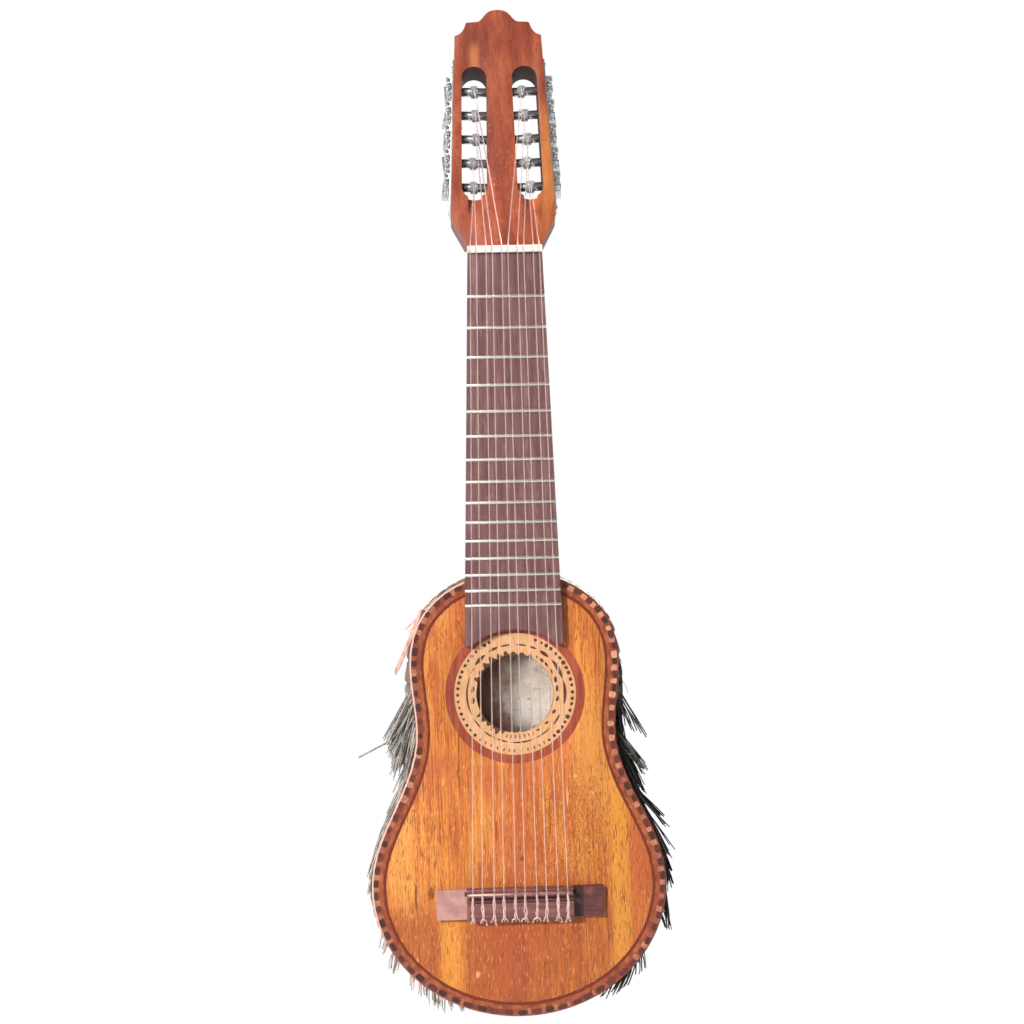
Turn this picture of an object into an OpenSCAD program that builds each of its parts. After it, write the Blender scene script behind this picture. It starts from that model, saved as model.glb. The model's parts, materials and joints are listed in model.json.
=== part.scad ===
// Charango with an armadillo-shell back: ten strings in five double courses,
// a slotted headstock and ten worm-geared tuning machines.
// Frame: +Z runs up the neck to the head, the soundboard faces -Y and the shell faces +Y.
// The origin is the middle of the neck's top face, at the nut's front edge.

/* [Scale and strings] */
// Open string length from the nut's front edge to the saddle
scale_length = 370; // [365:1:372]
// Length that the frets are spaced for, shorter than the strings on this handmade board
fret_scale = 341.7; // [338:0.1:345]
// Distance from the nut to where that length starts
fret_start = 6.1; // [0:0.1:8]
// Diameter of the nylon strings
string_d = 0.8; // [0.6:0.05:0.9]
// Distance between the five courses at the nut
course_gap_nut = 9.1; // [8.8:0.1:9.3]
// Distance between the five courses at the bridge
course_gap_bridge = 12.3; // [11.6:0.1:12.6]
// Distance between the two strings of a course at the nut
pair_gap_nut = 3.6; // [3.2:0.1:4]
// Distance between the two strings of a course at the bridge
pair_gap_bridge = 5.6; // [4.8:0.1:5.8]
// Height of the string axes above the neck face at the nut
string_y_nut = 6.2; // [6:0.1:6.5]
// Height of the string axes above the soundboard at the saddle
string_y_saddle = 9.5; // [9.2:0.1:10]

/* [Body] */
// Length of the body from its tail to the neck joint
body_length = 261.7; // [255:0.1:262]
// Widest half width, at the lower bout
lower_half = 85.8; // [82:0.1:88]
// Height of the widest place above the tail
lower_rise = 76.5; // [72:0.5:80]
// Half width at the waist
waist_half = 58; // [56:0.1:60]
// Height of the waist above the tail
waist_rise = 167; // [162:0.5:170]
// Half width at the upper bout
upper_half = 61; // [60:0.1:63]
// Height of the upper bout above the tail
upper_rise = 204.3; // [200:0.1:208]
// Soundboard thickness
board_t = 2.5; // [2.2:0.1:3]
// Depth of the shell behind the soundboard at the lower bout
shell_depth = 74; // [68:1:78]
// How far the shell swells past the soundboard at the waist
shell_swell = 12; // [6:1:14]

/* [Soundhole and inlay] */
// Soundhole radius
hole_r = 22.5; // [21:0.5:23]
// Outer radius of the pierced tan band
rosette_r = 35.5; // [34:0.5:36]
// Outer radius of the red-brown ring
rosette_ring_r = 40.6; // [39.5:0.1:41]
// Distance of the soundhole centre below the nut
hole_drop = 256.2; // [255:0.1:258]
// Width of the toothed mosaic along the edge
mosaic_w = 5.8; // [5:0.1:6]
// Width of the dark line inside the mosaic
edge_line_w = 2.4; // [2:0.1:2.6]
// Depth of the inlays
inlay_t = 0.6; // [0.5:0.1:0.8]

/* [Neck and fingerboard] */
// Half width of the fingerboard at the nut
nut_half = 21.7; // [21.5:0.1:22.5]
// Half width of the fingerboard at its lower corners
board_end_half = 28.7; // [28:0.1:29]
// Distance of the fingerboard's lower corners below the nut
board_end_drop = 227.5; // [226:0.5:229]
// Fingerboard thickness
fingerboard_t = 4.5; // [4:0.1:4.8]
// Number of frets
fret_count = 15; // [12:1:15]
// Height of the fret crowns
fret_h = 1; // [0.8:0.1:1.1]
// Neck depth behind its top face, near the nut
neck_depth = 15.5; // [15:0.1:16]
// Depth of the heel at the body
heel_depth = 35; // [30:1:38]
// Depth of the neck's foot at its end inside the body
foot_depth = 26; // [22:1:30]

/* [Headstock] */
// Backward tilt of the headstock
head_tilt = 14; // [12:0.5:15]
// Headstock thickness
head_t = 17; // [16:0.5:18]
// Length of the headstock face
head_length = 153.3; // [152:0.1:155]
// Half width of the head at its lower corners
head_low_half = 30.8; // [30.4:0.1:31]
// Half width of the head at its upper corners
head_high_half = 26; // [25.6:0.1:26.5]
// Width of the two string slots
slot_w = 15; // [14.4:0.1:15.2]

/* [Tuning machines] */
// Distance between neighbouring string rollers
roller_pitch = 15.5; // [14.6:0.1:15.6]
// Radius of a string roller
roller_r = 2.6; // [2.4:0.1:2.8]
// Running clearance of shafts in their holes
running_gap = 0.07; // [0.03:0.01:0.09]
// Number of teeth on each roller gear
gear_teeth = 14; // [14:1:14]
// Pitch radius of each roller gear
gear_pitch_r = 4; // [4:0.1:4]

/* [Hidden] */
$fn = 48;
nut_w = 4;
board_z = -scale_length - 74;
board_y = 0;
shell_y = board_t;
saddle_z = -scale_length;
hole_z = -hole_drop;
fingerboard_y = -fingerboard_t;

// Body outline, right half, from the tail up to the neck, as [x, z]
function mix(a, b, t) = a + (b - a) * t;
function bezier(p, t) = mix(mix(mix(p[0], p[1], t), mix(p[1], p[2], t), t),
                            mix(mix(p[1], p[2], t), mix(p[2], p[3], t), t), t);
function bezier_run(p, steps) = [for (i = [1:steps]) bezier(p, i / steps)];
tail_steps = 14;
tail_arc = [for (i = [0:tail_steps]) let (a = 90 * i / tail_steps)
    [lower_half * sin(a), lower_rise * (1 - cos(a))]];
waist_curve = [[lower_half, lower_rise], [lower_half, lower_rise + 33.7],
               [waist_half, waist_rise - 33.7], [waist_half, waist_rise]];
upper_curve = [[waist_half, waist_rise], [waist_half, waist_rise + 12],
               [upper_half, upper_rise - 12], [upper_half, upper_rise]];
shoulder_curve = [[upper_half, upper_rise], [upper_half, upper_rise + 35.3],
                  [upper_half * 0.63, body_length - 7], [0, body_length]];
half_outline = [for (p = concat(tail_arc, bezier_run(waist_curve, 12),
                                bezier_run(upper_curve, 4), bezier_run(shoulder_curve, 14)))
    [p[0], p[1] + board_z]];
half_count = len(half_outline);

// Outline moved inwards by d, as a closed polygon in [x, z]
function outline_normal(i) =
    let (a = i == 0 ? [-half_outline[1][0], half_outline[1][1]] : half_outline[i - 1],
         b = i == half_count - 1 ? [-half_outline[i - 1][0], half_outline[i - 1][1]]
                                 : half_outline[i + 1],
         v = b - a)
    [-v[1], v[0]] / norm(v);
function inset_half(d) = [for (i = [0:half_count - 1]) half_outline[i] + d * outline_normal(i)];
function closed_outline(d) = let (h = inset_half(d))
    concat(h, [for (i = [half_count - 2:-1:1]) [-h[i][0], h[i][1]]]);
function half_width_at(z) = lookup(z, [for (p = half_outline) [p[1], p[0]]]);

// Fingerboard half width at height z
function board_half(z) = mix(nut_half, board_end_half, min(1, max(0, -z / board_end_drop)));
// Distance of fret n below the nut
function fret_drop(n) = fret_start + fret_scale * (1 - pow(2, -n / 12));

// String places: 1 to 10 from the left edge to the right edge
function string_x(i, course_gap, pair_gap) =
    (floor((i - 1) / 2) - 2) * course_gap + ((i - 1) % 2 - 0.5) * pair_gap;
function nut_x(i) = string_x(i, course_gap_nut, pair_gap_nut);
function bridge_x(i) = string_x(i, course_gap_bridge, pair_gap_bridge);
function string_y_at(z) = -mix(string_y_nut, string_y_saddle, -z / scale_length);

// Tuning machines: 1 to 5 on the left, 6 to 10 on the right
function machine_side(i) = i <= 5 ? -1 : 1;
// Row of a machine, 1 nearest the nut: the outer strings go to the nearest rollers
function machine_row(i) = i <= 5 ? i : 11 - i;

// Headstock frame: [x, u, n] with u up the face and n out of the face
head_low_u = 19.8;
head_high_u = head_length - 17;
head_taper = atan((head_low_half - head_high_half) / (head_high_u - head_low_u));
slot_low_u = 30.9;
slot_high_u = 115.8;
slot_low_x = 16.4;
slot_high_x = 14.7;
roller_mid_u = 72.2;
roller_n = -7.4;
side_x = mix(head_low_half, head_high_half,
             (roller_mid_u - head_low_u) / (head_high_u - head_low_u));
function head_point(p) = [p[0], p[1] * sin(head_tilt) - p[2] * cos(head_tilt),
                          nut_w + p[1] * cos(head_tilt) + p[2] * sin(head_tilt)];
// A point of the right side frame, x out of the side and y up it, in the headstock frame
function side_point(p) = [side_x + p[0] * cos(head_taper) - p[1] * sin(head_taper),
                          roller_mid_u + p[0] * sin(head_taper) + p[1] * cos(head_taper),
                          roller_n + p[2]];

// Machine parts, measured outwards from the side of the head
plate_t = 1;
plate_l = 98;
plate_w = 12;
gear_x = 3.1;
gear_t = 2;
gear_tip_r = 4.35;
gear_root_r = 3.6;
neck_r = 1.6;
roller_inner = -24.6;
worm_offset = 5.5;
worm_core_r = 1.05;
worm_bore_r = 0.76;
worm_seat_r = 0.7;
worm_crest_r = 1.8;
worm_half = 3;
knob_shaft_r = 1;
lug_gap = 0.3;
lug_t = 1.1;
button_start = -10.4;
button_h = 11;
button_w = 12.6;
button_t = 5;
winding_r = 3.1;
winding_w = 4.4;
thread_pitch = 2 * PI * gear_pitch_r / gear_teeth;
knob_rest_turn = [6, -9, 3, 12, -5, -7, 10, -3, 8, 0];

// Bridge
bridge_half = 48.5;
bridge_top_z = saddle_z + 1.6;
bridge_bottom_z = saddle_z - 16;
bridge_wing_t = 3.5;
tie_half = 31;
tie_h = 8;
tie_top_z = saddle_z - 6;
tie_hole_y = -5;
tie_hole_r = 0.6;
saddle_t = 2.4;
saddle_seat_y = -2;

// Braces and blocks behind the soundboard
hoop_outer = 5;
hoop_inner = 10;
hoop_depth = 9;
brace_h = 8;
brace_w = 7;
upper_brace_z = hole_z + 34;
lower_brace_z = hole_z - 33;
foot_half = 26.4;
foot_end_z = -205;
joint_gap = 0.12;

// Stands a drawing in [x, z] up, its thickness t running back from depth y
module upright(y, t) {
    translate([0, y + t, 0]) rotate([90, 0, 0]) linear_extrude(height = t) children();
}

// A round hole or disc along Y, from depth y back to y + t
module round_through(x, y, z, r, t) {
    translate([x, y, z]) rotate([-90, 0, 0]) cylinder(r = r, h = t);
}

module head_frame() {
    translate([0, 0, nut_w]) rotate([90 - head_tilt, 0, 0]) children();
}

// Right side of the head, x out of the side, y up it and z out of the face
module side_frame() {
    translate([side_x, roller_mid_u, roller_n]) rotate([0, 0, head_taper]) children();
}

// Places a machine part on its side and row of the head
module machine_place(i) {
    head_frame() mirror([machine_side(i) < 0 ? 1 : 0, 0, 0]) side_frame()
        translate([0, (machine_row(i) - 3) * roller_pitch, 0]) children();
}

// Two triangles over the corners lower left, lower right, upper left and upper right
function quad(ll, lr, ul, ur) = [[ll, ul, lr], [lr, ul, ur]];

// Tube swept along a route, for the strings
function unit(v) = v / norm(v);
function route_dir(route, k) = unit(route[min(k + 1, len(route) - 1)] - route[max(k - 1, 0)]);
function ring_at(route, k, r, sides) =
    let (t = route_dir(route, k), a = unit([1, 0, 0] - t[0] * t), b = cross(t, a))
    [for (j = [0:sides - 1]) route[k] + r * (cos(360 * j / sides) * a + sin(360 * j / sides) * b)];
module tube(route, r, sides = 8) {
    rings = len(route);
    points = [for (k = [0:rings - 1]) each ring_at(route, k, r, sides)];
    walls = [for (k = [0:rings - 2]) for (j = [0:sides - 1])
        let (a = k * sides + j, b = k * sides + (j + 1) % sides)
        each quad(a, b, a + sides, b + sides)];
    first = [[for (j = [0:sides - 1]) j]];
    last = [[for (j = [sides - 1:-1:0]) (rings - 1) * sides + j]];
    polyhedron(points = points, faces = concat(walls, first, last));
}

// Closed loft through equal rings of points
module loft(rings) {
    count = len(rings[0]);
    points = [for (r = rings) each r];
    walls = [for (k = [0:len(rings) - 2]) for (j = [0:count - 1])
        let (a = k * count + j, b = k * count + (j + 1) % count)
        each quad(a, b, a + count, b + count)];
    first = [[for (j = [0:count - 1]) j]];
    last = [[for (j = [count - 1:-1:0]) (len(rings) - 1) * count + j]];
    polyhedron(points = points, faces = concat(walls, first, last));
}

// ---- Body ----

module soundboard() {
    color([0.72, 0.38, 0.13]) difference() {
        union() {
            upright(board_y + inlay_t, board_t - inlay_t) polygon(closed_outline(0));
            upright(board_y, board_t) polygon(closed_outline(mosaic_w + edge_line_w));
        }
        round_through(0, board_y - 1, hole_z, hole_r, board_t + 2);
        round_through(0, board_y - 1, hole_z, rosette_ring_r, inlay_t + 1);
        neck_notch();
    }
}

// Room for the neck's foot, hidden under the fingerboard
module neck_notch() {
    translate([-foot_half - joint_gap, -10, foot_end_z - joint_gap])
        cube([2 * (foot_half + joint_gap), 80, 60]);
}

module edge_inlay(outer, inner) {
    difference() {
        upright(board_y, inlay_t) polygon(closed_outline(outer));
        upright(board_y - 1, inlay_t + 2) polygon(closed_outline(inner));
        neck_notch();
    }
}

module edge_mosaic() {
    color([0.66, 0.42, 0.28]) edge_inlay(0, mosaic_w);
}

module edge_line() {
    color([0.35, 0.12, 0.06]) edge_inlay(mosaic_w, mosaic_w + edge_line_w);
}

module inlay_ring(outer_r, inner_r) {
    difference() {
        round_through(0, board_y, hole_z, outer_r, inlay_t);
        round_through(0, board_y - 1, hole_z, inner_r, inlay_t + 2);
    }
}

module rosette_band() {
    color([0.80, 0.60, 0.34]) inlay_ring(rosette_r, hole_r);
}

module rosette_ring() {
    color([0.42, 0.14, 0.07]) inlay_ring(rosette_ring_r, rosette_r);
}

// Shell depth and side swell at a height above the tail
function shell_ends(s) = sqrt(max(0, 1 - pow(max(0, 1 - s / 95), 2)))
                       * sqrt(max(0, 1 - pow(max(0, (s - 226) / (body_length - 226)), 2)));
function shell_depth_at(s) = shell_ends(s) * mix(shell_depth, shell_depth - 20,
                                                 pow(max(0, s - 90) / 170, 1.4));
function shell_swell_at(s) = 3 + (shell_swell - 3) * exp(-pow((s - 170) / 42, 2));
shell_arc = 20;
function shell_ring(i) =
    let (w = half_outline[i][0], z = half_outline[i][1], s = z - board_z)
    [for (j = [0:shell_arc]) let (a = 180 * j / shell_arc, side = cos(a) < 0 ? -1 : 1,
        c = pow(abs(cos(a)), 0.7), swell = min(w / 20, 1) * shell_swell_at(s) * abs(sin(2 * a)))
        [side * (w + swell) * c, shell_y + shell_depth_at(s) * pow(sin(a), 0.9), z]];

// The solid form of the shell, flat at the soundboard
module shell_form() {
    tail = [0, shell_y, half_outline[0][1]];
    top = [0, shell_y, half_outline[half_count - 1][1]];
    n = shell_arc + 1;
    rings = half_count - 2;
    points = concat([for (i = [1:rings]) each shell_ring(i)], [tail, top]);
    walls = [for (k = [0:rings - 2]) for (j = [0:n - 1])
        let (a = k * n + j, b = k * n + (j + 1) % n)
        each quad(a, b, a + n, b + n)];
    tail_fan = [for (j = [0:n - 1]) [j, (j + 1) % n, rings * n]];
    top_fan = [for (j = [0:n - 1]) let (k = (rings - 1) * n)
        [k + (j + 1) % n, k + j, rings * n + 1]];
    polyhedron(points = points, faces = concat(walls, tail_fan, top_fan));
}

shell_inner_scale = [0.966, 0.96, 0.977];
module carapace() {
    middle = [0, shell_y, board_z + body_length / 2];
    color([0.30, 0.24, 0.19]) resize([0, 0, 0]) difference() {
        shell_form();
        translate(middle - [0, 0.01, 0]) scale(shell_inner_scale) translate(-middle) shell_form();
        neck_form(joint_gap);
    }
}

module rim_hoop() {
    color([0.55, 0.36, 0.20]) difference() {
        upright(shell_y, hoop_depth) polygon(closed_outline(hoop_outer));
        upright(shell_y - 1, hoop_depth + 2) polygon(closed_outline(hoop_inner));
        neck_notch();
    }
}

module tail_block() {
    color([0.60, 0.42, 0.25]) intersection() {
        upright(shell_y, 20) polygon(closed_outline(hoop_inner));
        translate([-24, 0, board_z]) cube([48, 40, 26]);
    }
}

module brace(z, half) {
    translate([-half, board_t, z - brace_w / 2]) difference() {
        cube([2 * half, brace_h, brace_w]);
        for (x = [0, 2 * half]) translate([x, brace_h, brace_w / 2])
            rotate([0, 45, 0]) rotate([-90, 0, 0])
                translate([-5, -5, -4]) cube([10, 10, 8]);
    }
}

module brace_upper() {
    color([0.70, 0.52, 0.32]) brace(upper_brace_z, 46);
}

module brace_lower() {
    color([0.70, 0.52, 0.32]) brace(lower_brace_z, 46);
}

module bridge_patch() {
    color([0.66, 0.48, 0.30])
        translate([-55, board_t, bridge_bottom_z - 4]) cube([110, 1.8, 26]);
}

// ---- Bridge ----

module bridge() {
    ridge_h = 6.4;
    color([0.27, 0.13, 0.11]) difference() {
        union() {
            translate([-bridge_half, -bridge_wing_t, bridge_bottom_z])
                cube([2 * bridge_half, bridge_wing_t, bridge_top_z - bridge_bottom_z]);
            translate([-tie_half, -tie_h, bridge_bottom_z])
                cube([2 * tie_half, tie_h, tie_top_z - bridge_bottom_z]);
            translate([-tie_half, -ridge_h, saddle_z - 3.4])
                cube([2 * tie_half, ridge_h, bridge_top_z - saddle_z + 3.4]);
        }
        translate([-tie_half - 1, -20, saddle_z - saddle_t])
            cube([2 * tie_half + 2, 20 + saddle_seat_y, saddle_t]);
        for (i = [1:10]) translate([bridge_x(i), tie_hole_y, bridge_bottom_z - 1])
            cylinder(r = tie_hole_r, h = 12, $fn = 24);
    }
}

module saddle() {
    top_y = -string_y_saddle + string_d / 2;
    color([0.93, 0.90, 0.80]) translate([-tie_half + 0.5, 0, saddle_z - saddle_t / 2])
        rotate([90, 0, 90]) linear_extrude(height = 2 * tie_half - 1) difference() {
            union() {
                translate([top_y + saddle_t / 2, -saddle_t / 2])
                    square([saddle_seat_y - top_y - saddle_t / 2, saddle_t]);
                translate([top_y + saddle_t / 2, 0]) circle(d = saddle_t);
            }
        }
}

// ---- Neck ----

neck_stations = [foot_end_z, -190, -184, -181, -177.5, -173.5, -169.5, -165, -160, -154, -148,
                 -130, -100, -70, -40, -14, -7, -2, 2, nut_w];
neck_arc = 20;
heel_start_z = -148;
heel_end_z = -184;
function heel_rise(z) = min(1, max(0, (heel_start_z - z) / (heel_start_z - heel_end_z)));
function neck_half_at(z) = z > -178 ? board_half(z) : mix(board_half(z), foot_half,
    min(1, (-178 - z) / 6));
function neck_depth_at(z) = mix(neck_depth, neck_depth + 2.5, min(1, max(0, -z / 148)))
    + (heel_depth - neck_depth - 2.5) * (1 - sqrt(1 - pow(heel_rise(z), 2.6)))
    - (heel_depth - foot_depth) * min(1, max(0, (heel_end_z - z) / (heel_end_z - foot_end_z)));
function neck_square_at(z) = mix(0.22, 0.8, min(1, max(0, (nut_w - z) / 20)));
function neck_ring(z, grow) =
    [for (j = [0:neck_arc]) let (a = 180 * j / neck_arc, e = neck_square_at(z),
        side = cos(a) < 0 ? -1 : 1)
        [side * (neck_half_at(z) + grow) * pow(abs(cos(a)), e),
         (neck_depth_at(z) + grow) * pow(sin(a), e) - (sin(a) < 0.001 ? grow : 0), z]];

module neck_form(grow = 0) {
    loft([for (z = neck_stations) neck_ring(z < -200 ? z - grow : z, grow)]);
}

module neck() {
    color([0.45, 0.20, 0.11]) neck_form();
}

module fingerboard() {
    color([0.26, 0.13, 0.12]) difference() {
        upright(fingerboard_y, fingerboard_t)
            polygon([[-nut_half, 0], [nut_half, 0],
                     [board_end_half, -board_end_drop], [-board_end_half, -board_end_drop]]);
        round_through(0, fingerboard_y - 1, hole_z, rosette_r + 2.3, fingerboard_t + 2);
        for (n = [1:fret_count]) translate([-40, fingerboard_y - 1, -fret_drop(n) - 0.3])
            cube([80, 3, 0.6]);
    }
}

// A crown wire with its tang, lying along X on the fingerboard
module fret_wire(half) {
    translate([-half, fingerboard_y, 0]) rotate([90, 0, 90]) linear_extrude(height = 2 * half) {
        intersection() {
            circle(r = fret_h, $fn = 32);
            translate([-fret_h, -fret_h]) square([fret_h, 2 * fret_h]);
        }
        translate([-0.01, -0.3]) square([1.9, 0.6]);
    }
}

module frets() {
    color([0.78, 0.78, 0.76]) for (n = [1:fret_count])
        translate([0, 0, -fret_drop(n)]) fret_wire(board_half(-fret_drop(n)) - 0.15);
}

module nut() {
    top = string_y_nut + 0.35;
    color([0.95, 0.93, 0.86]) difference() {
        translate([-nut_half, -top, 0]) cube([2 * nut_half, top, nut_w]);
        for (i = [1:10]) string_groove(nut_x(i));
    }
}

// String slot in the nut, open at the top
module string_groove(x) {
    r = string_d / 2 + 0.05;
    translate([x, -string_y_nut, -1]) cylinder(r = r, h = nut_w + 2, $fn = 24);
    translate([x - r, -string_y_nut - 2, -1]) cube([2 * r, 2, nut_w + 2]);
}

// ---- Headstock ----

crown_u = head_length - 8.7;
crown_side = [[head_high_half, head_high_u], [22.3, head_high_u + 0.6],
              [20.3, crown_u - 5], [19.1, crown_u]];
crown_low = [[19.1, crown_u], [18.2, crown_u + 1], [13, crown_u + 0.2], [11.1, crown_u + 1.2]];
crown_high = [[11.1, crown_u + 1.2], [7.7, crown_u + 3.5], [7.5, head_length], [0, head_length]];
shoulder = [[nut_half, 0], [nut_half + 0.6, 4], [head_low_half - 3, head_low_u - 7],
            [head_low_half, head_low_u]];
head_half = concat([[nut_half, -6]], [shoulder[0]], bezier_run(shoulder, 8),
    [crown_side[0]], bezier_run(crown_side, 6), bezier_run(crown_low, 6),
    bezier_run(crown_high, 8));

// Slot for the rollers, its two ends round
module string_slot() {
    slot_dx = slot_low_x - slot_high_x;
    lean = atan(slot_dx / (slot_high_u - slot_low_u));
    length = slot_high_u - slot_low_u - slot_w;
    translate([slot_low_x, slot_low_u + slot_w / 2, -head_t - 1]) rotate([0, 0, lean]) {
        cylinder(d = slot_w, h = head_t + 2);
        translate([0, length, 0]) cylinder(d = slot_w, h = head_t + 2);
        translate([-slot_w / 2, 0, 0]) cube([slot_w, length, head_t + 2]);
    }
}

// Sloping channel that lets the nearest strings down into the slot
module string_ramp() {
    translate([slot_low_x - 4, slot_low_u - 10, 0]) rotate([-18, 0, 0]) cube([8, 14, 8]);
}

module headstock() {
    color([0.55, 0.22, 0.11]) difference() {
        head_frame() translate([0, 0, -head_t]) linear_extrude(height = head_t)
            polygon(concat(head_half, [for (i = [len(head_half) - 2:-1:0])
                [-head_half[i][0], head_half[i][1]]]));
        translate([-60, -30, nut_w - 60]) cube([120, 80, 60]);
        head_frame() for (side = [0, 1]) mirror([side, 0, 0]) {
            string_slot();
            string_ramp();
            side_frame() for (row = [-2:2]) translate([roller_inner - 0.3, row * roller_pitch, 0])
                rotate([0, 90, 0]) cylinder(r = roller_r + running_gap, h = 40);
            side_frame() screw_places() rotate([0, -90, 0])
                translate([0, 0, -1]) cylinder(r = 0.6, h = 7, $fn = 24);
        }
    }
}

// ---- Tuning machines ----

// The screws that hold one plate, as places on the side of the head
module screw_places() {
    end_y = plate_l / 2 - 2.6;
    for (p = [[-end_y, 3.4], [-end_y, -3.4], [end_y, 3.4], [end_y, -3.4], [-5.4, 4.7], [9.8, -4.7]])
        translate([0, p[0], p[1]]) children();
}

module tuner_plate() {
    difference() {
        union() {
            translate([0, -plate_l / 2, -plate_w / 2]) cube([plate_t, plate_l, plate_w]);
            for (row = [-2:2]) for (end = [-1, 1])
                translate([0, row * roller_pitch + worm_offset - 1.8,
                           end * (worm_half + lug_gap + lug_t / 2) - lug_t / 2])
                    cube([gear_x + 1.7, 3.6, lug_t]);
        }
        for (row = [-2:2]) {
            translate([-1, row * roller_pitch, 0]) rotate([0, 90, 0])
                cylinder(r = neck_r + running_gap, h = plate_t + 2);
            translate([gear_x, row * roller_pitch + worm_offset, -8])
                cylinder(r = knob_shaft_r + running_gap, h = 16);
        }
        screw_places() translate([-1, 0, 0]) rotate([0, 90, 0]) cylinder(r = 0.75, h = 4, $fn = 24);
    }
}

module tuner_plate_left() {
    color([0.72, 0.72, 0.70]) head_frame() mirror([1, 0, 0]) side_frame() tuner_plate();
}

module tuner_plate_right() {
    color([0.72, 0.72, 0.70]) head_frame() side_frame() tuner_plate();
}

module plate_screw() {
    rotate([0, 90, 0]) {
        translate([0, 0, -5.6]) cylinder(r = 0.6, h = 6.8, $fn = 24);
        difference() {
            translate([0, 0, plate_t]) cylinder(r1 = 1.2, r2 = 0.9, h = 0.6, $fn = 24);
            translate([-2, -0.15, plate_t + 0.3]) cube([4, 0.3, 1]);
        }
    }
}

module plate_screws() {
    color([0.8, 0.8, 0.78]) head_frame() for (side = [0, 1]) mirror([side, 0, 0])
        side_frame() screw_places() plate_screw();
}

// Gear with straight teeth, a gap between two teeth facing the worm
function gear_outline() = [for (k = [0:gear_teeth - 1])
    let (step = 360 / gear_teeth, a = (k + 0.5) * step)
    for (q = [[gear_root_r, -6.6], [gear_tip_r, -2.6], [gear_tip_r, 2.6], [gear_root_r, 6.6]])
        q[0] * [cos(a + q[1]), sin(a + q[1])]];

// Place of the string on its roller, measured outwards from the side of the head
function winding_x(i) = -13.2 + ((i % 3) - 1) * 0.8;

module roller(i) {
    machine_place(i) {
        color([0.70, 0.70, 0.68]) rotate([0, 90, 0]) {
            translate([0, 0, roller_inner]) cylinder(r = roller_r, h = -roller_inner - 0.2);
            translate([0, 0, -1]) cylinder(r = neck_r, h = gear_x + 1);
        }
        color([0.78, 0.62, 0.30]) translate([gear_x - gear_t / 2, 0, 0]) rotate([90, 0, 90])
            linear_extrude(height = gear_t) polygon(gear_outline());
        color([0.75, 0.75, 0.73]) translate([gear_x + gear_t / 2, 0, 0]) rotate([0, 90, 0])
            difference() {
                translate([0, 0, -0.1]) cylinder(r1 = 1.7, r2 = 1.2, h = 0.9, $fn = 32);
                translate([-3, -0.2, 0.5]) cube([6, 0.4, 1]);
            }
        color([0.85, 0.85, 0.80]) translate([winding_x(i), 0, 0]) rotate([0, 90, 0])
            rotate_extrude() polygon([[0, -winding_w / 2], [roller_r + 0.1, -winding_w / 2],
                [winding_r, -winding_w / 2 + 0.9], [winding_r, winding_w / 2 - 0.9],
                [roller_r + 0.1, winding_w / 2], [0, winding_w / 2]]);
    }
}

// Worm sleeve pressed on the knob's shaft, its thread crest facing the gear at mid length
thread_sides = 14;
thread_end = 38;
thread_profile = [[worm_core_r, -0.42], [worm_crest_r, -0.17],
                  [worm_crest_r, 0.17], [worm_core_r, 0.42]];
function thread_column(q) = 360 * (q - thread_end / 2) / thread_sides - 90;
function thread_point(q, r, z) = [r * cos(thread_column(q)), r * sin(thread_column(q)), z];
module worm_sleeve() {
    n = thread_sides;
    last = thread_end;
    points = concat(
        [for (q = [0:last]) for (p = thread_profile)
            thread_point(q, p[0], thread_pitch * (q - last / 2) / n + p[1])],
        [for (z = [-worm_half, worm_half]) for (j = [0:n - 1]) thread_point(j, worm_core_r, z)],
        [for (z = [-worm_half, worm_half]) for (j = [0:n - 1]) thread_point(j, worm_bore_r, z)]);
    base = 4 * (last + 1);
    function low(j) = base + j % n;
    function high(j) = base + n + j % n;
    function low_bore(j) = base + 2 * n + j % n;
    function high_bore(j) = base + 3 * n + j % n;
    flanks = [for (q = [0:last - 1]) for (k = [0:2])
        each quad(4 * q + k, 4 * q + 4 + k, 4 * q + k + 1, 4 * q + 5 + k)];
    valley = [for (q = [0:last - n - 1])
        each quad(4 * q + 3, 4 * q + 7, 4 * (q + n), 4 * (q + n + 1))];
    foot = [for (j = [0:n - 2]) each quad(low(j), low(j + 1), 4 * j, 4 * (j + 1))];
    foot_seam = [for (p = [[4 * n, 3], [3, 0], [0, low(0)], [low(0), low(n - 1)]])
        [4 * (n - 1), p[0], p[1]]];
    crown = [for (q = [last - n + 1:last - 1])
        each quad(4 * q + 3, 4 * q + 7, high(q), high(q + 1))];
    seam = last - n;
    crown_seam = [for (p = [[4 * seam + 3, 4 * last], [4 * last, 4 * last + 3],
                            [4 * last + 3, high(seam)], [high(seam), high(seam + 1)]])
        [4 * seam + 7, p[0], p[1]]];
    tips = [[0, 3, 2], [0, 2, 1], [4 * last, 4 * last + 1, 4 * last + 2],
            [4 * last, 4 * last + 2, 4 * last + 3]];
    bore = [for (j = [0:n - 1])
        each [[low_bore(j), low_bore(j + 1), high_bore(j)],
              [low_bore(j + 1), high_bore(j + 1), high_bore(j)],
              [low(j), low(j + 1), low_bore(j + 1)], [low(j), low_bore(j + 1), low_bore(j)],
              [high(j + 1), high(j), high_bore(j)], [high(j + 1), high_bore(j), high_bore(j + 1)]]];
    polyhedron(points = points,
               faces = concat(flanks, valley, foot, foot_seam, crown, crown_seam, tips, bore));
}

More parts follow.
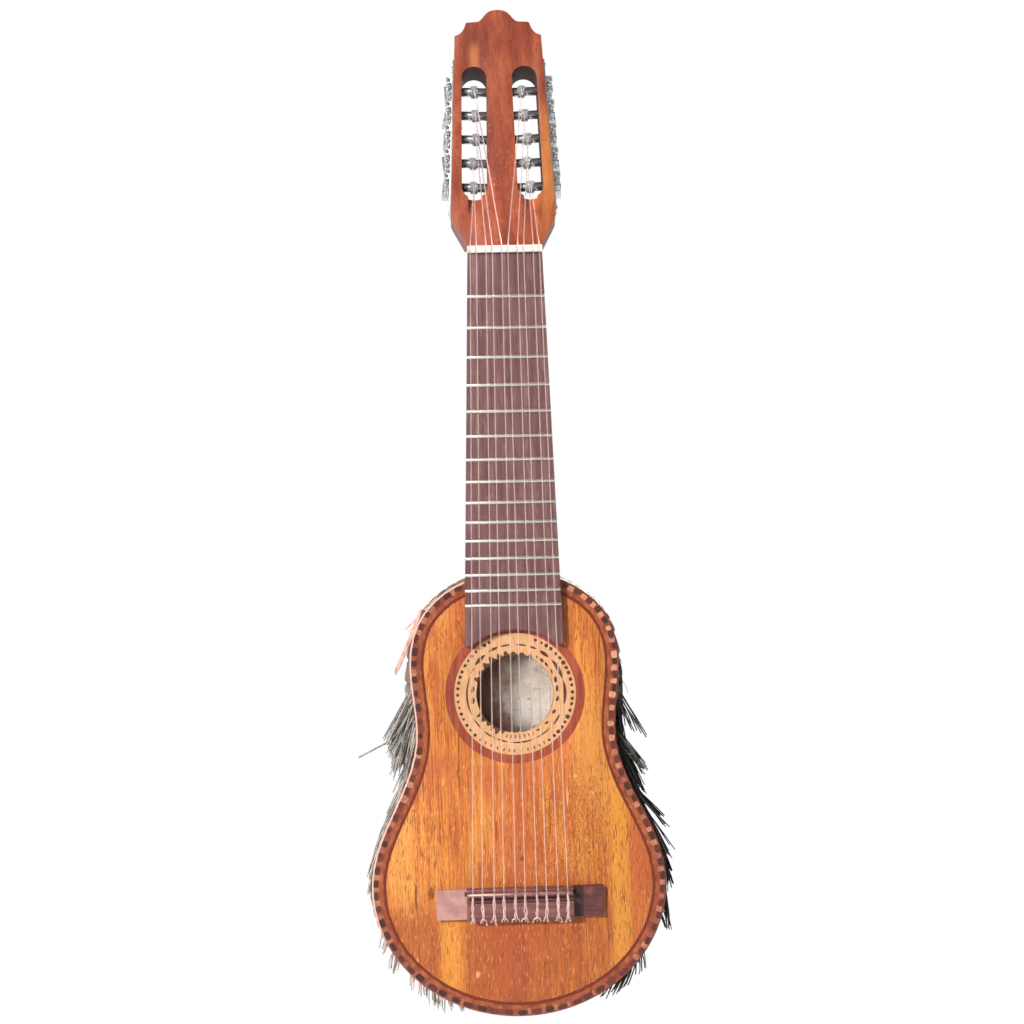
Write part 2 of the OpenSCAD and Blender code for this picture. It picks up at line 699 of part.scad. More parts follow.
module knob(i) {
    machine_place(i) translate([gear_x, worm_offset, 0]) {
        color([0.75, 0.75, 0.73]) {
            worm_sleeve();
            translate([0, 0, -worm_half - 0.2]) cylinder(r = worm_seat_r, h = 2 * worm_half + 0.4);
            translate([0, 0, worm_half + 0.1]) cylinder(r = knob_shaft_r, h = 1.8);
            translate([0, 0, button_start - 0.6])
                cylinder(r = knob_shaft_r, h = 0.5 - button_start - worm_half);
        }
        color([0.80, 0.80, 0.80]) rotate([0, 0, knob_rest_turn[i - 1]]) button();
    }
}

// Oval paddle on a collar, its broad faces towards the sides of the head
module button() {
    lobe_r = button_h / 2 - 0.7;
    translate([0, 0, button_start - 1.6]) cylinder(r1 = 2.4, r2 = 1.7, h = 1.6);
    translate([-button_t / 2, 0, button_start - 1.2 - lobe_r]) rotate([0, 90, 0]) {
        for (end = [-1, 1]) translate([0, end * (button_w / 2 - lobe_r), 0])
            cylinder(r = lobe_r, h = button_t);
        translate([-lobe_r, -(button_w / 2 - lobe_r), 0])
            cube([2 * lobe_r, button_w - 2 * lobe_r, button_t]);
    }
}

// ---- Strings ----

// Where a string meets the front of its winding, in the headstock frame
function string_end(i) = let (p = side_point([winding_x(i), (machine_row(i) - 3) * roller_pitch,
    winding_r + string_d / 2 + 0.05])) [machine_side(i) * p[0], p[1], p[2]];

// The string's way from its tied end, through the tie block and over saddle and nut
function string_route(i) = concat(
    [[bridge_x(i), tie_hole_y, bridge_bottom_z - 2.6], [bridge_x(i), tie_hole_y, tie_top_z + 0.4],
     [bridge_x(i), 0.3 - string_y_saddle, saddle_z - 2.6],
     [bridge_x(i), -string_y_saddle, saddle_z - 1.2], [bridge_x(i), -string_y_saddle, saddle_z]],
    [for (z = [-300, -228, -150, -75]) [mix(nut_x(i), bridge_x(i), -z / scale_length),
                                        string_y_at(z), z]],
    [[nut_x(i), -string_y_nut, -0.4], [nut_x(i), -string_y_nut, nut_w + 0.4],
     head_point(string_end(i))]);

module string_wire(i) {
    color([0.92, 0.90, 0.84]) tube(string_route(i), string_d / 2);
}

// ---- Bristles along the shell's edge ----

bristle_count = 26;
bristle_turn = rands(-14, 14, 2 * bristle_count, 7);
bristle_len = rands(0.55, 1, 2 * bristle_count, 11);
bristle_back = rands(5, 16, 2 * bristle_count, 13);

module bristle(side, k) {
    n = (side > 0 ? bristle_count : 0) + k;
    t = k / (bristle_count - 1);
    z = board_z + mix(16, 214, t);
    lean = mix(64, 40, t) + bristle_turn[n];
    length = bristle_len[n] * (t > 0.75 ? 14 : mix(11, 20, min(1, t / 0.3)));
    translate([side * (half_width_at(z) - 1.2), bristle_back[n], z])
        rotate([0, side * (90 + lean), 0]) cylinder(r1 = 0.5, r2 = 0.12, h = length, $fn = 24);
}

module bristles() {
    color([0.35, 0.31, 0.27]) for (side = [-1, 1]) for (k = [0:bristle_count - 1])
        bristle(side, k);
}

soundboard();
edge_mosaic();
edge_line();
rosette_band();
rosette_ring();
carapace();
rim_hoop();
tail_block();
brace_upper();
brace_lower();
bridge_patch();
bridge();
saddle();
neck();
headstock();
fingerboard();
frets();
nut();
tuner_plate_left();
tuner_plate_right();
plate_screws();
bristles();
for (i = [1:10]) {
    string_wire(i);
    roller(i);
    knob(i);
}
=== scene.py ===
"""Looks of a charango with an armadillo-shell back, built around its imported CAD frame.

Shapes are worked out in millimetres, and make_mesh() turns them into metres.
Frame: +Z up the neck, the soundboard faces -Y, the shell faces +Y, and the origin is at the nut.
"""
import json
import math
import random

import bpy
import numpy as np
from mathutils import Matrix, Vector
from mathutils.geometry import tessellate_polygon
from mathutils.kdtree import KDTree

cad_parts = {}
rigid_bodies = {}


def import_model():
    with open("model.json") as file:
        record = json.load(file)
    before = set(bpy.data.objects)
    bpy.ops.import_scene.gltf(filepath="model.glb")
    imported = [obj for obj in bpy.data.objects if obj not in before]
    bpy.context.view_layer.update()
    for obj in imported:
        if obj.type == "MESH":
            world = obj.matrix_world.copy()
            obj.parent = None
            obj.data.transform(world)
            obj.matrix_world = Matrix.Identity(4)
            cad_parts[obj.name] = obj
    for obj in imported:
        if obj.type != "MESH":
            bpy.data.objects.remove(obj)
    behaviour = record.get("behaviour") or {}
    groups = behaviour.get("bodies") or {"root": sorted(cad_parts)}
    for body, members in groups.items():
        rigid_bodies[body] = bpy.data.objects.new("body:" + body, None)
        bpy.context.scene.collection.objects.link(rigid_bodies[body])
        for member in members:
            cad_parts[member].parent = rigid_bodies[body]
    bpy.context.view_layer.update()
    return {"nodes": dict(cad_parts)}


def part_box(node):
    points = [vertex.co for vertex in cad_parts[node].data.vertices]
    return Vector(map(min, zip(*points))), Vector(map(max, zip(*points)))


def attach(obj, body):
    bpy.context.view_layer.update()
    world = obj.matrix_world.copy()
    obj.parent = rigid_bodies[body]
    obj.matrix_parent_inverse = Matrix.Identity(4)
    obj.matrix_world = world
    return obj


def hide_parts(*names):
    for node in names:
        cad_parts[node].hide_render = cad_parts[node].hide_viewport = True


for leftover in list(bpy.data.objects):
    bpy.data.objects.remove(leftover)
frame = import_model()

MM = 0.001
rng = random.Random(7)


# ---- Sizes, in millimetres, from the frame and the design ----

def node_box(name):
    low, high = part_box(name)
    return low / MM, high / MM


board_low, board_high = node_box("soundboard")
band_low, band_high = node_box("rosette_band")

TAIL_Z = board_low.z
BOARD_T = board_high.y
LOWER_HALF = board_high.x
HOLE_Z = (band_low.z + band_high.z) / 2
ROSETTE_R = band_high.x
SHELL_DEPTH = node_box("carapace")[1].y - BOARD_T
BRIDGE_Z = node_box("bridge")[0].z
NUT_W = node_box("nut")[1].z
HOLE_R = 22.5
LOWER_RISE = 76.5
WAIST_HALF, WAIST_RISE = 58, 167
UPPER_HALF, UPPER_RISE = 61, 204.3
BODY_LENGTH = 261.7
SCALE_LENGTH = 370
SADDLE_Z = -SCALE_LENGTH
STRING_R = 0.4
COURSE_NUT, COURSE_BRIDGE = 9.1, 12.3
PAIR_NUT, PAIR_BRIDGE = 3.6, 5.6
STRING_Y_NUT, STRING_Y_SADDLE = -6.2, -9.5
HEAD_TILT = math.radians(14)
ROLLER_PITCH = 15.5
ROLLER_N = -7.4
ROLLER_MID_U = 72.2
HEAD_LOW_U, HEAD_HIGH_U = 19.8, 136.3
HEAD_LOW_HALF, HEAD_HIGH_HALF = 30.8, 26
HEAD_TAPER = math.atan((HEAD_LOW_HALF - HEAD_HIGH_HALF) / (HEAD_HIGH_U - HEAD_LOW_U))
SIDE_X = HEAD_LOW_HALF + (HEAD_HIGH_HALF - HEAD_LOW_HALF) * (
    (ROLLER_MID_U - HEAD_LOW_U) / (HEAD_HIGH_U - HEAD_LOW_U))
WINDING_R = 3.1


# ---- Curves ----

def bezier(points, t):
    a, b, c, d = (np.array(p, float) for p in points)
    t = t[:, None]
    return a * (1 - t) ** 3 + 3 * b * t * (1 - t) ** 2 + 3 * c * t * t * (1 - t) + d * t ** 3


def lengths_along(line):
    steps = np.linalg.norm(np.diff(line, axis=0), axis=1)
    return np.concatenate([[0], np.cumsum(steps)])


def resample(line, count):
    """The same line with count points, evenly spaced."""
    along = lengths_along(line)
    want = np.linspace(0, along[-1], count)
    return np.stack([np.interp(want, along, line[:, k]) for k in range(line.shape[1])], 1)


def smooth_line(points, count, rounds=3):
    """A rounded line of count points through a few chosen ones."""
    line = resample(np.array(points, float), count)
    for _ in range(rounds):
        line[1:-1] = (line[:-2] + 2 * line[1:-1] + line[2:]) / 4
    return line


def half_outline(count):
    """Right half of the body's outline as [x, z], from the tail to the neck."""
    t = np.linspace(0, 1, 160)
    tail = np.stack([LOWER_HALF * np.sin(t * math.pi / 2),
                     LOWER_RISE * (1 - np.cos(t * math.pi / 2))], 1)
    waist = [[LOWER_HALF, LOWER_RISE], [LOWER_HALF, LOWER_RISE + 33.7],
             [WAIST_HALF, WAIST_RISE - 33.7], [WAIST_HALF, WAIST_RISE]]
    upper = [[WAIST_HALF, WAIST_RISE], [WAIST_HALF, WAIST_RISE + 12],
             [UPPER_HALF, UPPER_RISE - 12], [UPPER_HALF, UPPER_RISE]]
    shoulder = [[UPPER_HALF, UPPER_RISE], [UPPER_HALF, UPPER_RISE + 35.3],
                [UPPER_HALF * 0.63, BODY_LENGTH - 7], [0, BODY_LENGTH]]
    line = np.concatenate([tail] + [bezier(c, t)[1:] for c in (waist, upper, shoulder)])
    line[:, 1] += TAIL_Z
    return resample(line, count)


def outward(line):
    """Unit normals of a half outline, pointing out of the body."""
    way = np.gradient(line, axis=0)
    way /= np.linalg.norm(way, axis=1)[:, None]
    return np.stack([way[:, 1], -way[:, 0]], 1)


FINE_STEPS = 400
edge_line = half_outline(FINE_STEPS)
edge_normal = outward(edge_line)
edge_length = lengths_along(edge_line)


def edge_at(length, inset=0):
    """Point, way along and way out at a length along the right half outline."""
    p = np.array([np.interp(length, edge_length, edge_line[:, k]) for k in (0, 1)])
    n = np.array([np.interp(length, edge_length, edge_normal[:, k]) for k in (0, 1)])
    n /= np.linalg.norm(n)
    return p - inset * n, np.array([-n[1], n[0]]), n


def smoothstep(low, high, x):
    t = np.clip((x - low) / (high - low), 0, 1)
    return t * t * (3 - 2 * t)


# ---- Meshes ----

def link_object(name, data):
    obj = bpy.data.objects.new(name, data)
    bpy.context.scene.collection.objects.link(obj)
    return obj


def make_mesh(name, points, faces, materials, smooth=True, sharp=None):
    """A new object from points in millimetres. Edges stay hard past sharp degrees."""
    mesh = bpy.data.meshes.new(name)
    mesh.from_pydata((np.asarray(points, float) * MM).tolist(), [], faces)
    mesh.validate()
    mesh.polygons.foreach_set("use_smooth", [smooth] * len(mesh.polygons))
    if sharp is not None:
        mesh.set_sharp_from_angle(angle=math.radians(sharp))
    mesh.update()
    for material in materials:
        mesh.materials.append(material)
    return link_object(name, mesh)


def mark_points(obj, name, values):
    obj.data.attributes.new(name, "FLOAT", "POINT").data.foreach_set("value", values)


class Shapes:
    """Points and faces of many small solids that make one piece."""

    def __init__(self):
        self.points, self.faces, self.values = [], [], []

    def add(self, points, faces, value=0.5):
        start = len(self.points)
        self.points.extend(points)
        self.faces.extend([tuple(start + k for k in face) for face in faces])
        self.values.extend([value] * len(points))

    def piece(self, name, materials, body="root", **how):
        obj = make_mesh(name, self.points, self.faces, materials, **how)
        mark_points(obj, "shade", self.values)
        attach(obj, body)
        return obj


def tube(line, radii, sides):
    """Points and faces of a closed tube along a line, its radius given at each point."""
    line = np.asarray(line, float)
    radii = np.broadcast_to(radii, len(line))
    way = np.gradient(line, axis=0)
    way /= np.maximum(np.linalg.norm(way, axis=1), 1e-9)[:, None]
    first = np.cross(way[0], [1.0, 0.0, 0.0])
    if np.linalg.norm(first) < 0.1:
        first = np.cross(way[0], [0.0, 1.0, 0.0])
    points, side = [], first / np.linalg.norm(first)
    turn = [(math.cos(2 * math.pi * j / sides), math.sin(2 * math.pi * j / sides))
            for j in range(sides)]
    for p, w, r in zip(line, way, radii):
        side = side - w * side.dot(w)
        side = side / np.linalg.norm(side)
        other = np.cross(w, side)
        points.extend(p + r * (c * side + s * other) for c, s in turn)
    n = len(line)
    faces = [(k * sides + j, k * sides + (j + 1) % sides,
              (k + 1) * sides + (j + 1) % sides, (k + 1) * sides + j)
             for k in range(n - 1) for j in range(sides)]
    faces.append(tuple(range(sides - 1, -1, -1)))
    faces.append(tuple((n - 1) * sides + j for j in range(sides)))
    return points, faces


def plate(loops, top, bottom):
    """A flat solid facing -Y, from outlines in [x, z]: the rim first and then its holes."""
    rings = [[Vector((*p, 0)) for p in loop] for loop in loops]
    flat = [p for ring in rings for p in ring]
    count = len(flat)
    points = [(p.x, y, p.y) for y in (top, bottom) for p in flat]
    faces = []
    for a, b, c in tessellate_polygon(rings):
        if (flat[b] - flat[a]).cross(flat[c] - flat[a]).z <= 0:
            a, c = c, a
        faces += [(a, b, c), (c + count, b + count, a + count)]
    start = 0
    for k, ring in enumerate(rings):
        n = len(ring)
        area = sum(ring[i - 1].cross(ring[i]).z for i in range(n))
        for i in range(n):
            a, b = start + i, start + (i + 1) % n
            a, b = (a, b) if (area > 0) == (k == 0) else (b, a)
            faces.append((b, a, a + count, b + count))
        start += n
    return points, faces


def pebble(centre, way, half_along, half_across, corner, top, bottom, bevel, steps=14):
    """A flat tile facing -Y with a bevelled rim: an oval if corner is 2, squarer if more."""
    across = np.array([-way[1], way[0]])
    loops = []
    for shrink, y in ((0, bottom), (0, top + bevel), (bevel, top)):
        for j in range(steps):
            a = 2 * math.pi * j / steps
            u = math.copysign(abs(math.cos(a)) ** (2 / corner), math.cos(a))
            v = math.copysign(abs(math.sin(a)) ** (2 / corner), math.sin(a))
            p = centre + way * u * (half_along - shrink) + across * v * (half_across - shrink)
            loops.append((p[0], y, p[1]))
    faces = [tuple(2 * steps + j for j in range(steps)), tuple(range(steps - 1, -1, -1))]
    for k in range(2):
        for j in range(steps):
            i = (j + 1) % steps
            faces.append((k * steps + j, k * steps + i, (k + 1) * steps + i, (k + 1) * steps + j))
    return loops, faces


# ---- Material tools ----

FLAT_GRAIN = 20


def scaled(colour, share):
    return tuple(min(1, share * c) for c in colour)


class Paint:
    """A procedural material. Colours are linear, and its patterns are in millimetres."""

    def __init__(self, name, **constants):
        self.material = bpy.data.materials.new(name)
        self.material.use_nodes = True
        self.tree = self.material.node_tree
        self.surface = self.tree.nodes["Principled BSDF"]
        self.place = self.node("TexCoord").outputs["Object"]
        self.tone = None
        for socket, value in constants.items():
            self.surface.inputs[socket.replace("_", " ")].default_value = value
        split = self.node("SeparateXYZ")
        self.put(split.inputs[0], self.place)
        self.x, _, self.z = (self.math("DIVIDE", way, MM) for way in split.outputs)

    def node(self, kind, **settings):
        made = self.tree.nodes.new("ShaderNode" + kind)
        for key, value in settings.items():
            setattr(made, key, value)
        return made

    def put(self, socket, value):
        """Links an output to a socket, or sets the socket to a number or a colour."""
        if isinstance(value, bpy.types.NodeSocket):
            self.tree.links.new(value, socket)
        else:
            socket.default_value = (*value, 1) if isinstance(value, tuple) else value

    def math(self, operation, a, b=0.5):
        made = self.node("Math", operation=operation)
        self.put(made.inputs[0], a)
        self.put(made.inputs[1], b)
        return made.outputs[0]

    def times(self, product, *factors):
        for factor in factors:
            product = self.math("MULTIPLY", product, factor)
        return product

    def blend(self, *parts):
        """Sum of outputs, each given as (output, weight)."""
        total = 0
        for part, weight in parts:
            total = self.math("ADD", total, self.times(part, weight))
        return total

    def grain(self, seed, size, detail=3, roughness=0.55, distortion=0):
        """Noise from 0 to 1 with features of size millimetres, or (x, z), or (x, y, z) of them."""
        if np.size(size) == 2:
            size = (size[0], FLAT_GRAIN, size[1])
        spread = self.node("Mapping")
        spread.inputs["Scale"].default_value = [1 / (MM * s) for s in np.broadcast_to(size, 3)]
        spread.inputs["Location"].default_value = (seed * 7.3, seed * 3.1, seed * 5.7)
        self.put(spread.inputs["Vector"], self.place)
        made = self.node("TexNoise")
        self.put(made.inputs["Vector"], spread.outputs[0])
        for name, value in (("Scale", 1), ("Detail", detail), ("Roughness", roughness),
                            ("Distortion", distortion)):
            made.inputs[name].default_value = value
        return made.outputs["Fac"]

    def band(self, value, low, high, out_low=0.0, out_high=1.0):
        """Maps low to high onto out_low to out_high, smoothly, and holds outside."""
        made = self.node("MapRange", interpolation_type="SMOOTHSTEP")
        for socket, number in zip(made.inputs[:5], (value, low, high, out_low, out_high)):
            self.put(socket, number)
        return made.outputs[0]

    def near(self, value, centre, inner, outer, strength=1, least=0):
        """strength up to inner away from centre, falling to least at outer."""
        away = self.math("ABSOLUTE", self.math("SUBTRACT", value, centre))
        return self.band(away, inner, outer, strength, least)

    def ramp(self, value, *stops):
        """Colours between stops, each given as (value, colour)."""
        made = self.node("ValToRGB")
        line = made.color_ramp.elements
        while len(line) < len(stops):
            line.new(0.5)
        for spot, (at, colour) in zip(line, stops):
            spot.position, spot.color = at, (*colour, 1)
        self.put(made.inputs[0], value)
        return made.outputs[0]

    def mix(self, amount, a, b):
        made = self.node("Mix", data_type="RGBA")
        for socket, value in ((0, amount), (6, a), (7, b)):
            self.put(made.inputs[socket], value)
        return made.outputs[2]

    def cover(self, amount, colour):
        """Lays another colour over the tone so far."""
        self.tone = self.mix(amount, self.tone, colour)

    def spot(self, x, z, half_x, half_z, seed):
        """1 inside an uneven oval on the front, fading to 0 at its rim."""
        dx = self.math("DIVIDE", self.math("SUBTRACT", self.x, x), half_x)
        dz = self.math("DIVIDE", self.math("SUBTRACT", self.z, z), half_z)
        away = self.math("ADD", self.times(dx, dx), self.times(dz, dz))
        wobble = self.band(self.grain(seed, (half_x, half_z)), 0.3, 0.7, -0.5, 0.5)
        return self.band(self.math("ADD", away, wobble), 0.5, 1.2, 1, 0)

    def patch(self, x, z, half_x, half_z, strength):
        """A soft-edged patch on the front: strength in its middle, 0 at its rim."""
        return self.times(self.near(self.x, x, 0.15 * half_x, half_x, strength),
                          self.near(self.z, z, 0.3 * half_z, half_z))

    def attribute(self, name):
        return self.node("Attribute", attribute_name=name).outputs["Fac"]

    def bump(self, height, depth, strength=1.0):
        """Surface relief of depth millimetres."""
        made = self.node("Bump")
        made.inputs["Strength"].default_value = strength
        made.inputs["Distance"].default_value = depth * MM
        self.put(made.inputs["Height"], height)
        self.put(self.surface.inputs["Normal"], made.outputs[0])

    def finish(self, roughness=None):
        self.put(self.surface.inputs["Base Color"], self.tone)
        if roughness is not None:
            self.put(self.surface.inputs["Roughness"], roughness)
        return self.material


def patterned(name, grain, stops, marks=(), **constants):
    """A paint of one grain with marks over it: (grain, low, high, strength, colour) each."""
    p = Paint(name, **constants)
    p.tone = p.ramp(p.grain(*grain), *stops)
    for mark, low, high, strength, colour in marks:
        p.cover(p.band(p.grain(*mark), low, high, 0, strength), colour)
    return p


# ---- Materials ----

def soundboard_wood():
    """Varnished board: streaks down its length, dark pores, pale flecks and golden bands."""
    p = Paint("board_wood", Coat_Weight=0.08, Coat_Roughness=0.3, Specular_IOR_Level=0.3)
    streak, fine = p.grain(1, (6, 150), 5, 0.6, 0.4), p.grain(2, (0.9, 26), 4, 0.65, 0.6)
    p.tone = p.ramp(p.blend((streak, 0.55), (fine, 0.45)),
                    (0.33, (0.3, 0.065, 0.016)), (0.44, (0.5, 0.13, 0.026)),
                    (0.54, (0.66, 0.215, 0.038)), (0.66, (0.78, 0.315, 0.06)))
    golden = p.band(p.grain(10, (12, 75), 3, 0.55, 0.3), 0.48, 0.6, 0, 0.6)
    p.cover(golden, (0.72, 0.3, 0.055))
    lines = p.band(p.grain(23, (0.55, 20), 3, 0.55, 0.5), 0.47, 0.35)
    where = p.band(p.grain(9, (16, 60), 2), 0.34, 0.54, 0.3, 1)
    p.cover(p.times(lines, where), (0.26, 0.05, 0.012))
    stain = p.band(p.grain(3, (7, 120)), 0.3, 0.62, 0.45, 1)
    middle = p.times(p.near(p.x, 4, 30, 58), p.band(p.z, -330, -405))
    p.cover(p.times(middle, stain, 0.75), (0.34, 0.06, 0.02))
    rust = p.times(p.near(p.x, -2, 2.5, 8), p.band(p.z, -300, -425, 0.15, 0.75))
    p.cover(rust, (0.3, 0.055, 0.022))
    blush = p.band(p.grain(4, (16, 60)), 0.45, 0.68, 0, 0.55)
    p.cover(blush, (0.52, 0.125, 0.036))
    corner = p.times(p.band(p.x, -44, -50), p.band(p.z, -368, -392), 0.75)
    p.cover(corner, (0.38, 0.08, 0.024))
    right_edge = p.times(p.band(p.x, 62, 68), p.band(p.z, -300, -330), 0.7)
    p.cover(right_edge, (0.62, 0.16, 0.045))
    lower_left = p.times(p.band(p.z, -340, -400), p.near(p.x, -40.5, 1, 10))
    gold = p.math("MAXIMUM", p.near(p.x, 59, 3, 6.5), lower_left)
    p.cover(p.times(gold, 0.75), (0.76, 0.31, 0.045))
    for place in ((44, -290, 22, 50, 0.5), (-68, -350, 15, 40, 0.55)):
        p.cover(p.patch(*place), (0.79, 0.35, 0.08))
    for place in ((4, -315, 20, 45, 0.4), (9, -352, 16, 24, 0.4), (-5, -415, 30, 42, 0.4),
                  (-6, -408, 15, 30, 0.4), (-50, -302, 18, 16, 0.4), (74, -352, 12, 36, 0.5)):
        p.cover(p.patch(*place), (0.44, 0.09, 0.03))
    curl = p.times(p.near(p.x, 27, 16, 30), p.near(p.z, -335, 18, 48))
    curly = p.band(p.grain(16, (1.2, 2.4), 2, 0.5, 2.2), 0.5, 0.38)
    p.cover(p.times(curl, curly, 0.8), (0.26, 0.055, 0.016))
    pores = p.band(p.grain(5, (0.6, 4.6), 2, 0.5, 0.4), 0.46, 0.32)
    where = p.band(p.grain(6, (14, 34), 2), 0.35, 0.62, 0.35, 0.9)
    p.cover(p.times(pores, where), (0.25, 0.065, 0.02))
    deep = p.band(p.grain(7, (0.7, 3.8), 2, 0.5), 0.31, 0.25)
    p.cover(p.times(deep, 0.7), (0.14, 0.03, 0.011))
    flecks = p.band(p.grain(8, (0.75, 4.5), 2, 0.5, 0.3), 0.6, 0.72, 0, 0.5)
    p.cover(flecks, (0.86, 0.45, 0.17))
    knots = ((-51.5, -371, 2.2, 3.6, 11), (-60.5, -374, 0.8, 9, 12), (-56, -420, 4, 1.6, 13),
             (2, -352, 1.6, 1.4, 17), (-61, -268, 0.9, 3.0, 18))
    chips = ((-25.5, -418.5, 1.4, 2.2, 14), (-4.5, -441, 3.2, 1.8, 15), (34, -305, 1.4, 1.1, 19),
             (29, -317, 0.6, 6, 20), (31, -377, 0.6, 9, 22))
    blushes = ((-46, -296, 9, 5, 25), (41, -219, 5, 9, 26), (-20, -306, 12, 8, 27))
    for spots, strength, colour in ((knots, 0.75, (0.12, 0.03, 0.012)),
                                    (chips, 0.6, (0.86, 0.5, 0.2)),
                                    (blushes, 0.3, (0.46, 0.085, 0.032))):
        for spot in spots:
            p.cover(p.times(p.spot(*spot), strength), colour)
    p.bump(p.math("SUBTRACT", p.times(fine, 0.6), p.math("ADD", pores, deep)), 0.12, 0.8)
    return p.finish(p.band(fine, 0.3, 0.7, 0.34, 0.48))


def edge_wood():
    """Wood along the edge: pale on its rounding on the left from wear and a painted highlight,
    stained inside, with a dark red line.
    """
    p = Paint("edge_wood", Coat_Weight=0.12, Coat_Roughness=0.3, Specular_IOR_Level=0.35)
    wobble = p.band(p.grain(23, (5, 5)), 0.3, 0.7, -0.3, 0.3)
    inset = p.math("ADD", p.attribute("inset"), wobble)
    mottled = p.grain(24, (3.2, 5), 4, 0.6)
    under = p.ramp(mottled, (0.3, (0.13, 0.026, 0.014)), (0.6, (0.3, 0.066, 0.032)))
    stained = p.ramp(mottled, (0.3, (0.18, 0.036, 0.014)), (0.5, (0.32, 0.072, 0.024)),
                     (0.7, (0.47, 0.125, 0.04)))
    p.tone = p.mix(p.band(inset, 3.7, 4.7), under, stained)
    line = p.times(p.band(inset, 6.4, 6.8), p.band(inset, 7.9, 8.3, 0.95, 0.4))
    p.cover(line, (0.15, 0.02, 0.01))
    # pale rounding only on the left, fading at the bottom: wear and a painted highlight of the
    # light from the left
    worn = p.times(p.band(p.attribute("inset"), 0.8, 1.1, 0.85, 0),
                   p.band(p.z, -405, -385, 0.1, 1), p.band(p.x, 10, 30, 1, 0))
    p.cover(worn, (0.8, 0.5, 0.41))
    p.bump(p.grain(0, (0.8, 2)), 0.08, 0.5)
    return p.finish(0.42)


def tile_wood(name, dark, light):
    """Small inlay tiles, each a little different in tone."""
    p = Paint(name, Coat_Weight=0.2, Coat_Roughness=0.3)
    p.tone = p.mix(p.attribute("shade"), dark, light)
    p.cover(p.band(p.grain(26, (0.9, 1.6)), 0.35, 0.7, 0, 0.5), scaled(dark, 0.5))
    return p.finish(0.4)


def tan_wood():
    p = patterned("tan_inlay_wood", (31, (1.6, 12), 4, 0.6),
                  ((0.3, (0.52, 0.27, 0.125)), (0.5, (0.66, 0.35, 0.175)),
                   (0.7, (0.78, 0.44, 0.25))),
                  [((32, (7, 7)), 0.42, 0.68, 0.6, (0.56, 0.32, 0.125))],
                  Coat_Weight=0.1, Coat_Roughness=0.35, Specular_IOR_Level=0.35)
    p.bump(p.grain(0, (0.6, 3)), 0.05, 0.5)
    return p.finish(0.45)


def burnt_wood():
    p = patterned("burnt_inlay_wood", (33, (1.2, 1.2)),
                  ((0.35, (0.035, 0.014, 0.007)), (0.65, (0.12, 0.05, 0.022))))
    return p.finish(0.7)


def red_wood():
    """Red-brown ring round the rosette."""
    p = patterned("red_ring_wood", (35, (2.2, 26), 4, 0.6),
                  ((0.3, (0.19, 0.034, 0.016)), (0.5, (0.3, 0.056, 0.026)),
                   (0.72, (0.42, 0.1, 0.048))),
                  [((36, (0.6, 4), 2), 0.34, 0.27, 0.7, (0.1, 0.02, 0.01))],
                  Coat_Weight=0.1, Coat_Roughness=0.3, Specular_IOR_Level=0.35)
    p.bump(p.grain(0, (0.6, 6)), 0.06, 0.5)
    return p.finish(0.42)


def fingerboard_wood():
    """Dry rosewood, mauve brown with fine dark pores and paler patches."""
    pore_grain = (42, (0.35, 3.2), 2)
    p = patterned("fingerboard_rosewood", (41, (1.6, 60), 5, 0.62),
                  ((0.3, (0.085, 0.036, 0.036)), (0.5, (0.15, 0.066, 0.066)),
                   (0.7, (0.225, 0.115, 0.11))),
                  [(pore_grain, 0.36, 0.28, 0.75, (0.03, 0.01, 0.01)),
                   ((43, (4, 15)), 0.52, 0.72, 0.4, (0.3, 0.17, 0.155))],
                  Specular_IOR_Level=0.45)
    pores = p.band(p.grain(*pore_grain), 0.36, 0.28)
    p.bump(p.math("SUBTRACT", p.grain(44, (0.4, 12)), pores), 0.07, 0.6)
    return p.finish(p.band(p.grain(45, (3, 12)), 0.3, 0.7, 0.38, 0.55))


def bridge_wood():
    """Rosewood: pale on the left wing from dust and a painted highlight, darker right of the tie
    block with painted shade and the tie block's painted shadow.
    """
    p = patterned("bridge_rosewood", (51, (26, 3, 1.4), 5, 0.62),
                  ((0.3, (0.095, 0.03, 0.028)), (0.5, (0.19, 0.068, 0.062)),
                   (0.7, (0.29, 0.125, 0.112))),
                  [((52, (3, 2, 0.35), 2), 0.36, 0.27, 0.7, (0.045, 0.014, 0.012))],
                  Specular_IOR_Level=0.5)
    # pale left wing: partly dust, partly a painted highlight of the light from the left
    dust_and_highlight = p.band(p.grain(56, 9), 0.25, 0.6, 0.55, 1)
    p.cover(p.times(p.band(p.x, -30.5, -31.5), dust_and_highlight, 0.85), (0.58, 0.32, 0.27))
    # darker right wing: painted shade
    p.cover(p.band(p.x, 30.5, 31.5, 0, 0.75), (0.08, 0.016, 0.016))
    # near-black band right of the tie block: the tie block's painted shadow
    painted_tie_block_shadow = p.times(p.band(p.x, 30.8, 31.4), p.band(p.x, 36.2, 37.4, 0.85, 0))
    p.cover(painted_tie_block_shadow, (0.024, 0.007, 0.006))
    p.cover(p.band(p.grain(53, 7, 4), 0.52, 0.72, 0, 0.4), (0.3, 0.125, 0.115))
    p.bump(p.grain(54, (3, 1, 0.4)), 0.08, 0.6)
    return p.finish(p.band(p.grain(55, 5), 0.3, 0.7, 0.32, 0.5))


def worn_saddle():
    """Saddle grimy as the wood round it, worn clean in a thin line under the strings."""
    p = patterned("grimy_bone", (61, 2, 4, 0.65),
                  ((0.35, (0.13, 0.05, 0.046)), (0.65, (0.32, 0.155, 0.14))))
    line = p.times(p.near(p.z, SADDLE_Z - 0.7, 0.25, 0.55),
                   p.band(p.grain(62, 3), 0.3, 0.6, 0.3, 1), p.band(p.x, -22, -2, 1, 0.15))
    p.cover(line, (0.8, 0.56, 0.5))
    return p.finish(0.45)


